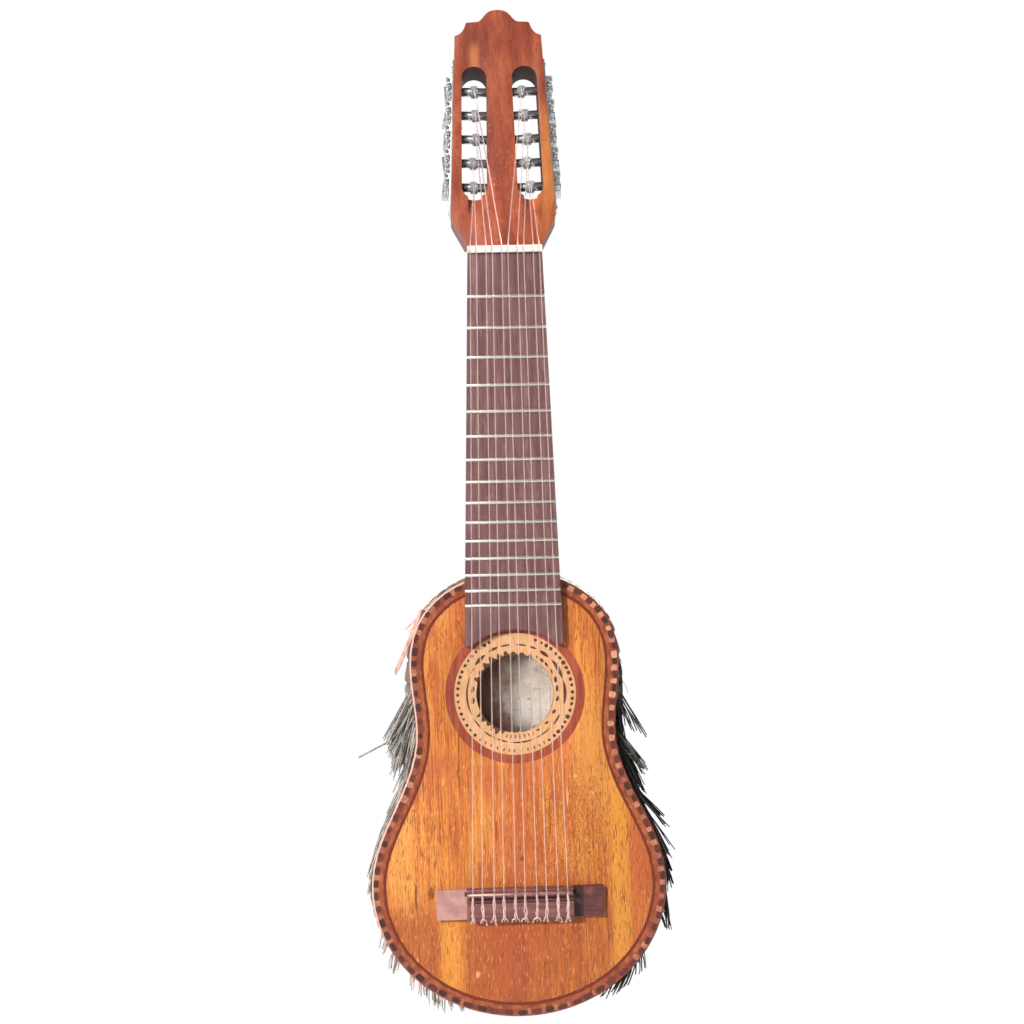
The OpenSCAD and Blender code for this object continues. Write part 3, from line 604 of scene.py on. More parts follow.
def bone():
    p = patterned("white_bone", (61, 3, 4, 0.65),
                  ((0.35, (0.8, 0.74, 0.66)), (0.6, (0.93, 0.89, 0.84))),
                  Subsurface_Weight=0.1, Subsurface_Scale=0.002)
    p.surface.inputs["Subsurface Radius"].default_value = (1.0, 0.7, 0.4)
    p.bump(p.grain(0, (0.3, 0.3, 2), 2), 0.02, 0.4)
    return p.finish(0.3)


def reddish_wood(name, deep, mid, pale, seed, blond=False):
    """Varnished mahogany for the head and the neck: short pores, pale flecks, broad bands."""
    p = Paint(name, Coat_Weight=0.8, Coat_Roughness=0.3, Specular_IOR_Level=0.4)
    broad = p.grain(seed, (9, 14, 60), 4, 0.6, 0.3)
    fine = p.grain(seed + 1, (0.8, 1.2, 24), 4, 0.6)
    p.tone = p.ramp(p.blend((broad, 0.65), (fine, 0.35)),
                    (0.34, deep), (0.5, mid), (0.66, pale))
    pores = p.band(p.grain(seed + 2, (0.55, 0.8, 3.2), 2, 0.5), 0.38, 0.29)
    p.cover(p.times(pores, 0.75), scaled(deep, 0.3))
    flecks = p.band(p.grain(seed + 3, (0.8, 0.8, 1.8), 2, 0.5, 1.5), 0.61, 0.7)
    middle = p.times(p.near(p.x, 0, 6, 14, 1, 0.15), p.band(p.z, 75, 100, 1, 0.15))
    p.cover(p.times(flecks, middle if blond else 0.3, 0.8), scaled(pale, 1.7))
    if blond:
        p.cover(p.patch(-14.5, 121, 4.5, 14, 0.6), (0.66, 0.225, 0.075))
        cheek = p.times(p.band(p.x, 15, 27), p.near(p.z, 52, 14, 58),
                        p.band(broad, 0.32, 0.62, 0.25, 0.75))
        p.cover(cheek, (0.74, 0.26, 0.05))
    p.bump(p.math("SUBTRACT", fine, pores), 0.06, 0.5)
    return p.finish(p.band(broad, 0.3, 0.7, 0.3, 0.42))


def bare_wood(name, dark, light, seed):
    """Unvarnished wood of the inside parts and the slot walls."""
    p = patterned(name, (seed, (20, 2.2, 1.6), 4, 0.6), ((0.3, dark), (0.68, light)))
    p.bump(p.grain(0, (8, 0.6, 0.5)), 0.1, 0.6)
    return p.finish(0.68)


def horn():
    """Outside of the shell: varnished horny scutes, dark in the furrows."""
    p = Paint("shell_horn", Coat_Weight=0.35, Coat_Roughness=0.22, Specular_IOR_Level=0.5)
    furrow = p.attribute("furrow")
    value = p.blend((p.attribute("shade"), 0.16), (p.grain(71, 6, 5, 0.65), 0.45),
                    (p.grain(73, 40, 3, 0.6), 0.42))
    p.tone = p.ramp(value, (0.36, (0.075, 0.042, 0.022)), (0.48, (0.165, 0.096, 0.048)),
                    (0.58, (0.27, 0.17, 0.086)), (0.7, (0.42, 0.29, 0.16)))
    p.cover(p.band(furrow, 0.1, 0.8, 0, 0.9), (0.028, 0.017, 0.011))
    rings = p.grain(72, 0.7, 4, 0.7)
    p.bump(rings, 0.25, 0.6)
    return p.finish(p.band(p.math("ADD", furrow, rings), 0.4, 1.3, 0.28, 0.62))


def hide():
    """Inside of the shell: scraped pale hide with stains, browner on the left with painted shade.
    """
    p = patterned("shell_inside_hide", (75, 18, 5, 0.6),
                  ((0.3, (0.6, 0.48, 0.39)), (0.5, (0.78, 0.69, 0.61)),
                   (0.7, (0.86, 0.8, 0.74))),
                  Specular_IOR_Level=0.2)
    wander = p.band(p.grain(78, 12), 0.3, 0.7, -7, 7)
    # browner towards the left: painted shade inside the soundhole
    p.cover(p.band(p.math("ADD", p.x, wander), -14, 6, 0.85, 0), (0.3, 0.135, 0.1))
    p.cover(p.band(p.grain(76, (9, 9, 6), 4, 0.65), 0.56, 0.66, 0, 0.55), (0.36, 0.25, 0.19))
    p.cover(p.band(p.grain(79, 3, 3, 0.6), 0.64, 0.7, 0, 0.8), (0.16, 0.1, 0.075))
    p.bump(p.grain(77, 3, 4), 0.4, 0.5)
    return p.finish(0.6)


def hair(name, *stops):
    """Stiff hair whose tone comes from each hair's own shade."""
    p = Paint(name, Specular_IOR_Level=0.6)
    p.tone = p.ramp(p.attribute("shade"), *stops)
    p.cover(p.band(p.grain(81, (2, 2, 5), 2), 0.4, 0.7, 0, 0.45), scaled(stops[0][1], 0.5))
    return p.finish(0.4)


def metal(name, colour, rough, worn, seed, scratch=1.2):
    """Plated metal with fine scratches and tarnish."""
    p = Paint(name, Metallic=1.0)
    tarnish = p.band(p.grain(seed, 6, 4, 0.6), 0.5, 0.8)
    p.tone = p.mix(tarnish, colour, worn)
    lines = p.grain(seed + 1, scratch, 3, 0.6)
    p.bump(lines, 0.004, 0.15)
    return p.finish(p.band(p.math("ADD", tarnish, lines), 0.3, 1.4, rough, rough + 0.2))


def nylon(name, clearness, dull, bright):
    return patterned(name, (91, (0.6, 0.6, 8), 2), ((0.3, dull), (0.7, bright)), Roughness=0.2,
                     Transmission_Weight=clearness, IOR=1.5).finish()


WOOD_BOARD = soundboard_wood()
WOOD_EDGE = edge_wood()
WOOD_TOOTH = tile_wood("dark_tooth_wood", (0.05, 0.012, 0.008), (0.15, 0.032, 0.02))
WOOD_TILE = tile_wood("tan_tile_wood", (0.21, 0.036, 0.018), (0.86, 0.4, 0.23))
WOOD_TAN = tan_wood()
WOOD_BURNT = burnt_wood()
WOOD_RED = red_wood()
WOOD_FINGERBOARD = fingerboard_wood()
WOOD_BRIDGE = bridge_wood()
BONE = bone()
BONE_GRIMY = worn_saddle()
WOOD_HEAD = reddish_wood("head_mahogany", (0.17, 0.026, 0.012), (0.3, 0.055, 0.022),
                         (0.45, 0.108, 0.042), 101, True)
# slot walls: bare wood darkened with painted shade of the slot recesses
WOOD_SLOT_SHADED = bare_wood("slot_wood_painted_shade", (0.03, 0.012, 0.012), (0.085, 0.034, 0.032), 106)
WOOD_NECK = reddish_wood("neck_mahogany", (0.16, 0.04, 0.018), (0.27, 0.08, 0.034),
                         (0.4, 0.14, 0.062), 111)
WOOD_LINING = bare_wood("lining_cedar", (0.32, 0.17, 0.085), (0.52, 0.32, 0.18), 121)
WOOD_BRACE = bare_wood("brace_spruce", (0.46, 0.3, 0.16), (0.7, 0.52, 0.32), 126)
HORN = horn()
HIDE = hide()
# paler ramp for the left hairs and near-black ramp for the right: painted light and painted shade
# of one grey-brown hair; the pinkish top stop is the hair's own colour
HAIR_PAINTED_LIT = hair("bristle_painted_lit", (0, (0.085, 0.075, 0.068)), (0.35, (0.28, 0.255, 0.235)),
                 (0.75, (0.54, 0.5, 0.46)), (0.88, (0.6, 0.5, 0.43)), (1, (0.84, 0.42, 0.32)))
HAIR_PAINTED_SHADED = hair("bristle_painted_shaded", (0, (0.01, 0.01, 0.009)), (0.6, (0.035, 0.033, 0.03)),
                 (0.85, (0.12, 0.115, 0.105)), (1, (0.28, 0.27, 0.25)))
FRET_METAL = metal("fret_nickel_silver", (0.9, 0.88, 0.85), 0.3, (0.6, 0.57, 0.53), 131)
PLATE_METAL = metal("nickel_plate", (0.86, 0.86, 0.85), 0.32, (0.58, 0.56, 0.53), 136,
                    (3, 3, 20))
SCREW_METAL = metal("screw_steel", (0.55, 0.54, 0.52), 0.3, (0.22, 0.2, 0.18), 141)
ROLLER_METAL = metal("roller_steel", (0.55, 0.56, 0.57), 0.24, (0.2, 0.2, 0.2), 146)
GEAR_METAL = metal("gear_nickel", (0.78, 0.77, 0.74), 0.22, (0.42, 0.4, 0.36), 151)
KNOB_METAL = metal("knob_nickel", (0.74, 0.74, 0.73), 0.12, (0.4, 0.39, 0.37), 156)
NYLON = nylon("clear_nylon", 0.82, (0.86, 0.7, 0.64), (0.97, 0.88, 0.84))
NYLON_WORN = nylon("worn_nylon", 0.25, (0.52, 0.32, 0.28), (0.84, 0.66, 0.61))
NYLON_GREY = nylon("wound_nylon", 0.35, (0.34, 0.34, 0.35), (0.76, 0.76, 0.77))


# ---- CAD nodes that stay, with softened edges and their own materials ----

def smooth_group(angle):
    """Geometry nodes that smooth a surface except over edges sharper than angle degrees."""
    group = bpy.data.node_groups.new(f"smooth_by_{angle}", "GeometryNodeTree")
    for way in ("INPUT", "OUTPUT"):
        group.interface.new_socket("Geometry", in_out=way, socket_type="NodeSocketGeometry")
    start, faces, edges, steep, fold, end = (group.nodes.new(kind) for kind in (
        "NodeGroupInput", "GeometryNodeSetShadeSmooth", "GeometryNodeSetShadeSmooth",
        "FunctionNodeCompare", "GeometryNodeInputMeshEdgeAngle", "NodeGroupOutput"))
    edges.domain, steep.operation = "EDGE", "GREATER_THAN"
    edges.inputs["Shade Smooth"].default_value = False
    steep.inputs[1].default_value = math.radians(angle)
    join = group.links.new
    join(start.outputs[0], faces.inputs["Geometry"])
    join(faces.outputs[0], edges.inputs["Geometry"])
    join(fold.outputs["Unsigned Angle"], steep.inputs[0])
    join(steep.outputs[0], edges.inputs["Selection"])
    join(edges.outputs[0], end.inputs[0])
    return group


SEAM_GAP, BEVEL_ANGLE = 0.002, 30
SMOOTH = {angle: smooth_group(angle) for angle in (30, 50)}


def dress(name, material, bevel=0.0, segments=2, keep_hard=30):
    """Gives a CAD node its material, and softens its edges by bevel millimetres."""
    obj = frame["nodes"][name]
    normals = obj.data.attributes.get("custom_normal")
    if normals is not None:
        obj.data.attributes.remove(normals)
    obj.data.materials.clear()
    obj.data.materials.append(material)
    weld = obj.modifiers.new("weld", "WELD")
    weld.merge_threshold = SEAM_GAP * MM
    if bevel:
        round_off = obj.modifiers.new("bevel", "BEVEL")
        round_off.width = bevel * MM
        round_off.segments = segments
        round_off.limit_method = "ANGLE"
        round_off.angle_limit = math.radians(BEVEL_ANGLE)
    smooth = obj.modifiers.new("smooth", "NODES")
    smooth.node_group = SMOOTH[keep_hard]
    return obj


for node, look, edge in (
        ("soundboard", WOOD_BOARD, 0.15), ("rosette_ring", WOOD_RED, 0),
        ("rim_hoop", WOOD_LINING, 0.4), ("tail_block", WOOD_LINING, 0.4),
        ("brace_upper", WOOD_BRACE, 0.5), ("brace_lower", WOOD_BRACE, 0.5),
        ("bridge_patch", WOOD_BRACE, 0.3), ("bridge", WOOD_BRIDGE, 0.35),
        ("saddle", BONE_GRIMY, 0.3), ("fingerboard", WOOD_FINGERBOARD, 0.2),
        ("frets", FRET_METAL, 0.12), ("nut", BONE, 0.2),
        ("tuner_plate_left", PLATE_METAL, 0.12), ("tuner_plate_right", PLATE_METAL, 0.12),
        ("plate_screws", SCREW_METAL, 0.05)):
    dress(node, look, edge)
dress("neck", WOOD_NECK, keep_hard=50)
dress("headstock", WOOD_HEAD, 1.0, 4)


SLOTS_HALF, SLOTS_LOW, SLOTS_HIGH = 25, 32, 120


def slot_walls():
    """Bare wood on the walls of the head's two string slots, darkened with painted shade of the
    recesses.
    """
    obj = frame["nodes"]["headstock"]
    obj.data.materials.append(WOOD_SLOT_SHADED)
    face_way = Vector((0, -math.cos(HEAD_TILT), math.sin(HEAD_TILT)))
    for face in obj.data.polygons:
        x, z = face.center.x / MM, face.center.z / MM
        in_slots = abs(x) < SLOTS_HALF and SLOTS_LOW < z < SLOTS_HIGH
        if in_slots and abs(face.normal.dot(face_way)) < 0.7:
            face.material_index = 1


slot_walls()


# ---- Tuning machines ----

GEAR_START, GEAR_END, GEAR_CORE_R = 2.0, 4.2, 1.75
WINDING_HALF, WINDING_CORE_R = 2.3, 2.62


def machine_side(i):
    return -1 if i <= 5 else 1


def machine_row(i):
    return i if i <= 5 else 11 - i


def head_point(x, u, n):
    """A point of the head, u up its face and n out of the face."""
    return np.array([x, u * math.sin(HEAD_TILT) - n * math.cos(HEAD_TILT),
                     NUT_W + u * math.cos(HEAD_TILT) + n * math.sin(HEAD_TILT)])


def machine_point(i, out, up, n):
    """A point of machine i: out of the head's side, up that side, and n out of its face."""
    up = up + (machine_row(i) - 3) * ROLLER_PITCH
    x = SIDE_X + out * math.cos(HEAD_TAPER) - up * math.sin(HEAD_TAPER)
    u = ROLLER_MID_U + out * math.sin(HEAD_TAPER) + up * math.cos(HEAD_TAPER)
    return head_point(machine_side(i) * x, u, ROLLER_N + n)


def winding_out(i):
    return -13.2 + ((i % 3) - 1) * 0.8


def roller_look(i):
    """Steel roller, with its nickel gear picked out by the distance along its axis."""
    obj = dress(f"roller_{i}", ROLLER_METAL, 0.08)
    for material in (GEAR_METAL, NYLON_GREY):
        obj.data.materials.append(material)
    start, end = machine_point(i, 0, 0, 0), machine_point(i, 1, 0, 0)
    way = end - start
    for face in obj.data.polygons:
        away = np.array(face.center) / MM - start
        out = away.dot(way)
        radius = np.linalg.norm(away - out * way)
        if GEAR_START < out < GEAR_END and radius > GEAR_CORE_R:
            face.material_index = 1
        elif abs(out - winding_out(i)) < WINDING_HALF and radius > WINDING_CORE_R:
            face.material_index = 2


def string_winding(i):
    """The turns of string i round its roller, with its end tucked under them."""
    turns, steps = 5, 20
    line = []
    for k in range(turns * steps + 1):
        a = 2 * math.pi * k / steps + math.pi / 2
        out = winding_out(i) - 2.0 + 4.0 * k / (turns * steps)
        r = WINDING_R + 0.1 + 0.25 * math.sin(math.pi * k / (turns * steps))
        line.append(machine_point(i, out, r * math.cos(a), r * math.sin(a)))
    tail = [machine_point(i, winding_out(i) + 2.6 + 0.9 * t, 3.2 * math.cos(2.2 + 0.7 * t),
                          3.2 * math.sin(2.2 + 0.7 * t) + 1.4 * t * t) for t in (0, 0.5, 1.0, 1.5)]
    shapes = Shapes()
    shapes.add(*tube(line, STRING_R, 8))
    shapes.add(*tube(smooth_line(tail, 10), STRING_R, 8))
    piece = shapes.piece(f"string_winding_{i}", [NYLON_GREY], f"roller_{i}", sharp=60)


for machine in range(1, 11):
    roller_look(machine)
    string_winding(machine)
    dress(f"knob_{machine}", KNOB_METAL, 0.35, 3)


# ---- Strings ----

def string_x(i, course, pair):
    return ((i - 1) // 2 - 2) * course + ((i - 1) % 2 - 0.5) * pair


def open_string(i):
    """From the saddle over the nut to the front of the winding."""
    bx, nx = string_x(i, COURSE_BRIDGE, PAIR_BRIDGE), string_x(i, COURSE_NUT, PAIR_NUT)
    end = machine_point(i, winding_out(i), 0, WINDING_R + STRING_R + 0.05)
    nut_back = np.array([nx, STRING_Y_NUT, NUT_W + 0.4])
    line = [(bx, STRING_Y_SADDLE, SADDLE_Z)]
    line += [(bx + (nx - bx) * t, STRING_Y_SADDLE + (STRING_Y_NUT - STRING_Y_SADDLE) * t,
              SADDLE_Z * (1 - t)) for t in np.linspace(0.05, 0.999, 20)]
    line += [tuple(nut_back)]
    line += [tuple(nut_back + (end - nut_back) * t) for t in np.linspace(0.1, 1, 10)]
    return line


def tied_end(i):
    """Two strands of the tied end down the tie block's front, from the saddle to their tails."""
    bx = string_x(i, COURSE_BRIDGE, PAIR_BRIDGE)
    lower, upper = BRIDGE_Z, SADDLE_Z - 6
    strands = []
    for side in (-1, 1):
        sway = [rng.uniform(-0.45, 0.45) for _ in range(6)]
        line = [[bx, STRING_Y_SADDLE, SADDLE_Z - 0.9], [bx + 0.2 * side, -9.0, SADDLE_Z - 3.0]]
        for k, share in enumerate((0.05, 0.25, 0.45, 0.65, 0.85)):
            line.append([bx + side * 0.38 + sway[k], -8.75 + 0.1 * side,
                         upper + (lower - upper) * share])
        splay = side * rng.uniform(0.6, 2.0)
        line += [[bx + splay, -8.6, lower + 0.5], [bx + splay * 1.2, -7.0, lower - 1.2],
                 [bx + splay * 1.3, -4.6, lower - rng.uniform(0.8, 2.8)]]
        strands.append(line)
    return strands


def string_piece(i):
    """A string with its tied end, its loop through the tie block and the beads on its tails."""
    bx = string_x(i, COURSE_BRIDGE, PAIR_BRIDGE)
    shapes = Shapes()
    shapes.add(*tube(np.array(open_string(i)), STRING_R * 0.85, 8))
    clear_faces = len(shapes.faces)
    through = [[bx, -8.9, SADDLE_Z - 3.2], [bx, -5.4, SADDLE_Z - 5.2], [bx, -5, SADDLE_Z - 8],
               [bx, -5, BRIDGE_Z - 0.4], [bx, -7, BRIDGE_Z - 1.3],
               [bx, -8.6, BRIDGE_Z + 0.6]]
    shapes.add(*tube(smooth_line(through, 40), STRING_R, 8))
    for strand in tied_end(i):
        line = smooth_line(strand, 70, 2)
        fuzz = [rng.uniform(0.9, 1.35) for _ in range(70)]
        shapes.add(*tube(line, STRING_R * np.array(fuzz), 8))
        bead = [line[-1] + np.array([0, 0, 0.7 - 0.23 * k]) for k in range(7)]
        shapes.add(*tube(bead, 0.25 + 0.55 * np.sin(np.linspace(0.2, 2.9, 7)), 8))
    piece = shapes.piece(f"string_{i}_nylon", [NYLON, NYLON_WORN], sharp=60)
    for face in piece.data.polygons[clear_faces:]:
        face.material_index = 1
    piece.visible_shadow = False
    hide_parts(f"string_{i}")


for string in range(1, 11):
    string_piece(string)


# ---- Edge mosaic ----

NOTCH_HALF = 28.5
TILE_PITCH, TILES_FREE_Z = 8.1, -230
EDGE_REACH = float(np.interp(-NOTCH_HALF, -edge_line[200:, 0], edge_length[200:]))


def edge_strip(name, section, node):
    """Strip all along the edge, its cross-section given as (inset, y), in place of a CAD node."""
    points = []
    for length in np.linspace(-EDGE_REACH, EDGE_REACH, 440):
        for inset, y in section:
            p = edge_at(abs(length), inset)[0]
            points.append((math.copysign(p[0], length), y, p[1]))
    n, rings = len(section), len(points) // len(section)
    faces = [(k * n + j, (k + 1) * n + j, (k + 1) * n + (j + 1) % n, k * n + (j + 1) % n)
             for k in range(rings - 1) for j in range(n)]
    faces += [tuple(range(n)), tuple((rings - 1) * n + j for j in range(n - 1, -1, -1))]
    obj = make_mesh(name, points, faces, [WOOD_EDGE], sharp=50)
    mark_points(obj, "inset", [inset for inset, _ in section] * rings)
    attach(obj, "root")
    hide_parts(node)


def tile_place(length, inset, side):
    """Centre of a tile, the way it lies, and whether the fingerboard leaves room for it."""
    p, way, _ = edge_at(length, inset)
    free = p[0] >= NOTCH_HALF or p[1] <= TILES_FREE_Z
    return [side * p[0], p[1]], np.array([side * way[0], way[1]]), free


def edge_tiles():
    """Dark rounded teeth and tan tiles by turns, along both sides from the tail to the neck."""
    teeth, tiles = Shapes(), Shapes()
    count = int(EDGE_REACH // TILE_PITCH)
    pitch = EDGE_REACH / (count + 0.5)
    for side in (-1, 1):
        for k in range(0 if side > 0 else 1, count + 1):
            wander = rng.uniform(-0.8, 0.8) if k else 0
            low = smoothstep(-395, -425, edge_at(k * pitch)[0][1])
            half_along = rng.uniform(1.7, 2.6) + 0.7 * low
            half_across = rng.uniform(1.2, 1.75)
            centre, way, free = tile_place(k * pitch + wander, 0.8 + half_across, side)
            if not free:
                continue
            teeth.add(*pebble(centre, way, half_along, half_across, rng.uniform(2.4, 3.6),
                              -0.05, 0.3, 0.05), value=rng.random())
            half = max(0.9, (pitch - 2 * half_along) / 2 - rng.uniform(0.0, 0.4))
            half_wide = rng.uniform(1.5, 2.0)
            centre, way, free = tile_place((k + 0.5) * pitch + wander, 0.9 + half_wide, side)
            if not free:
                continue
            upper = smoothstep(-330, -260, centre[1])
            sunny = 0.26 + (0.12 + 0.35 * upper) * (side > 0) - 0.18 * low
            sunny += rng.uniform(-0.25, 0.25)
            tiles.add(*pebble(centre, way, half, half_wide, rng.uniform(3, 5), -0.03, 0.3, 0.04),
                      value=min(1, max(0, sunny)))
    teeth.piece("mosaic_teeth", [WOOD_TOOTH], sharp=40)
    tiles.piece("mosaic_tiles", [WOOD_TILE], sharp=40)


edge_strip("edge_mosaic_strip", [(0, 0.6), (0.08, 0.38), (0.3, 0.17), (0.62, 0.05), (1.05, 0),
                                 (3.5, 0), (5.8, 0), (5.8, 0.6)], "edge_mosaic")
edge_strip("edge_line_strip", [(5.8, 0.6), (5.8, 0), (7, 0), (8.2, 0), (8.2, 0.6)], "edge_line")
edge_tiles()


# ---- Rosette ----

DOTS_START, DOTS_END, DOTS_R = 22.0, 338, 33.4


def polar(degrees, r):
    """Point at an angle clockwise from the top, round the soundhole."""
    a = math.radians(degrees)
    return [r * math.sin(a), HOLE_Z + r * math.cos(a)]


def oval(degrees, r, half_round, half_out, steps, twist):
    """A small oval hole; half_round is along the ring and half_out across it."""
    a = math.radians(degrees)
    along, out = np.array([math.cos(a), -math.sin(a)]), np.array([math.sin(a), math.cos(a)])
    hole = []
    for j in range(steps):
        t = 2 * math.pi * j / steps
        u, v = half_round * math.cos(t), half_out * math.sin(t)
        hole.append(polar(degrees, r) + (u * math.cos(twist) - v * math.sin(twist)) * along
                    + (u * math.sin(twist) + v * math.cos(twist)) * out)
    return hole


def arc_slot(start, end, r, width):
    """A crescent slot that is widest in the middle."""
    outer, inner = [], []
    for t in np.linspace(0, 1, max(6, int((end - start) / 4)) + 1):
        w = 0.12 + width / 2 * math.sin(math.pi * t) ** 0.7
        outer.append(polar(start + (end - start) * t, r + w))
        inner.append(polar(start + (end - start) * t, r - w))
    return outer + inner[::-1]


def rosette_rim():
    """Inner edge of the tan band: flame-like teeth at the lower left and at the top."""
    rim, degrees = [], 28
    for start, end, step in ((197, 244, 8), (288, 388, 11)):
        rim += [polar(at, HOLE_R + 0.1) for at in np.arange(degrees, start, 4)]
        degrees = start
        while degrees < end:
            wide = min(step * rng.uniform(0.7, 1.25), end - degrees)
            depth = rng.uniform(1.8, 4.0) * min(1, wide / 5)
            rim.append(polar(degrees, HOLE_R + 0.3 + rng.uniform(0, 0.4)))
            rim += [polar(degrees + share * wide, HOLE_R + tall * depth)
                    for share, tall in ((0.22, 0.9), (0.5, 1), (0.7, 0.5))]
            degrees += wide
    return rim


def rosette():
    """Tan band with burnt dots, arcs and ovals, over a dark ground."""
    holes = []
    degrees = DOTS_START
    while degrees < DOTS_END:
        low = 150 < degrees < 215
        size = rng.uniform(0.85, 1.25) * (1.15 if 30 < degrees < 150 else 0.95)
        half_round, half_out = (0.42, 1.0) if low else (size, size * rng.uniform(0.75, 1.1))
        holes.append(oval(degrees, DOTS_R - 0.3 * low, half_round, half_out, 10,
                          rng.uniform(-0.5, 0.5)))
        degrees += rng.uniform(5.2, 7.4)
    arcs = [(-53, -36, 28.6, 2.0), (-31, -19, 28.9, 1.5), (-16, -4, 28.7, 0.9), (2, 15, 28.7, 0.9),
            (18, 27, 28.8, 1.0), (31, 44, 28.8, 1.9), (48, 74, 29.0, 2.0), (76, 104, 29.1, 1.6),
            (114, 131, 28.6, 0.9), (135, 156, 28.4, 0.7), (158, 187, 28.4, 0.8),
            (190, 204, 28.2, 0.8), (206, 221, 28.2, 0.8), (224, 240, 28.0, 0.7),
            (244, 293, 28.0, 0.8), (296, 303, 28.3, 0.9)]
    holes += [arc_slot(*a) for a in arcs]
    for at, long, wide in ((33, 1.2, 0.7), (40, 1.5, 0.9), (48, 1.5, 0.7), (60, 1.6, 0.5),
                           (72, 1.9, 1.0), (84, 1.9, 1.1), (98, 1.8, 0.9), (116, 1.5, 0.9),
                           (134, 1.3, 0.7), (149, 1.2, 0.6), (262, 2.0, 1.1), (277, 1.9, 1.0)):
        holes.append(oval(at, 24.9, long, wide, 12, -0.25))
    for at in (157, 163, 169, 175, 181, 187, 192.5):
        holes.append(oval(at, 25.0, 0.38, 1.3, 8, rng.uniform(-0.2, 0.2)))
    rim = [polar(3 * k, ROSETTE_R - 0.05) for k in range(120)]
    tan = Shapes()
    tan.add(*plate([rim, rosette_rim()] + holes, -0.12, 0.22))
    piece = tan.piece("rosette_pierced_band", [WOOD_TAN], smooth=False)
    ground = Shapes()
    ground.add(*plate([rim, [polar(5 * k, HOLE_R) for k in range(72)]], 0.24, 0.58))
    burnt = ground.piece("rosette_burnt_ground", [WOOD_BURNT], smooth=False)
    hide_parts("rosette_band")


rosette()


# ---- Shell ----

TAIL_ROUND_END, NECK_ROUND_START = 95, 226
SINK_START, SINK_LENGTH, SINK = 90, 170, 20


def shell_depth(s):
    """Depth of the shell at a height above the tail: rounded off at both ends, less at the neck."""
    tail = np.maximum(0, 1 - s / TAIL_ROUND_END)
    neck = np.maximum(0, s - NECK_ROUND_START) / (BODY_LENGTH - NECK_ROUND_START)
    ends = np.sqrt(np.maximum(0, 1 - tail ** 2)) * np.sqrt(np.maximum(0, 1 - neck ** 2))
    sink = np.maximum(0, s - SINK_START) / SINK_LENGTH
    return ends * (SHELL_DEPTH - SINK * sink ** 1.4)


def shell_section(w, s, count):
    """Cross-section of the shell at half width w and height s above the tail, evenly spaced."""
    a = np.linspace(0, math.pi, FINE_STEPS)
    foot = 3 - 2.2 * float(smoothstep(196, 214, s))
    swell = min(w / 20, 1) * (foot + 9 * math.exp(-((s - 170) / 36) ** 2)) * np.abs(np.sin(2 * a))
    x = np.sign(np.cos(a)) * (w + swell) * np.abs(np.cos(a)) ** 0.7
    y = BOARD_T + shell_depth(s) * np.sin(a) ** 0.9
    return resample(np.stack([x, y, np.full(FINE_STEPS, s + TAIL_Z)], 1), count)


def shell_grid(rows, columns):
    """Grid of points over the shell, its rows spaced by their mean distance from each other."""
    dense = half_outline(700)[1:-1]
    sections = np.stack([shell_section(w, z - TAIL_Z, 9) for w, z in dense])
    gaps = np.linalg.norm(np.diff(sections, axis=0), axis=2).mean(1)
    along = np.concatenate([[0], np.cumsum(gaps)])
    want = np.linspace(0, along[-1], rows)
    outline = np.stack([np.interp(want, along, dense[:, k]) for k in (0, 1)], 1)
    return np.stack([shell_section(w, z - TAIL_Z, columns) for w, z in outline]), along[-1]


def grid_normals(grid):
    """Unit normals of a grid over the shell, pointing out."""
    normals = np.cross(np.gradient(grid, axis=1), np.gradient(grid, axis=0))
    return normals / np.maximum(np.linalg.norm(normals, axis=2), 1e-9)[:, :, None]


def grid_faces(numbers):
    """Quads between the points of a grid, given by their numbers."""
    corners = (numbers[:-1, :-1], numbers[:-1, 1:], numbers[1:, 1:], numbers[1:, :-1])
    return np.stack(corners, 2).reshape(-1, 4).tolist()


BANDS_START, BANDS_END, BAND_COUNT = 0.5, 0.78, 7
INSIDE_GRID, INSIDE_SCALE = (90, 70), (0.966, 0.96, 0.977)


def scute_rows(total):
    """Rows of scutes as (middle, scute width, shift, moving or not), and the width of a band."""
    def shield(start, end, pitch, width):
        return [(at, width, 0.5 * (k % 2), False)
                for k, at in enumerate(np.arange(start, end, pitch))]

    first, last = total * BANDS_START, total * BANDS_END
    band = (last - first) / BAND_COUNT
    bands = [(first + band * (k + 0.5), 5.6, 0, True) for k in range(BAND_COUNT)]
    return shield(4, first - 4, 6.9, 7.6) + bands + shield(last + 4, total - 3, 6.6, 7.2), band


def scutes(grid, around, rows_of_scutes, total):
    """Centre, tone and kind of every scute; a kind is whether it belongs to a moving band."""
    last = len(grid) - 1
    found = []
    for at, width, shift, moving in rows_of_scutes:
        reach = around[min(last, max(0, round(at / total * last))), -1] - 2
        jitter = 0 if moving else 0.7
        for k in range(-int(reach // width), int(reach // width) + 1):
            u = (k + shift) * width
            if abs(u) > reach:
                continue
            u += rng.uniform(-jitter, jitter)
            row = (at + rng.uniform(-jitter, jitter)) / total * last
            low = min(last - 1, max(0, int(row)))
            ends = [np.array([np.interp(u, around[r], grid[r, :, a]) for a in range(3)])
                    for r in (low, low + 1)]
            found.append((ends[0] + (ends[1] - ends[0]) * (row - low), rng.random(), moving))
    return found


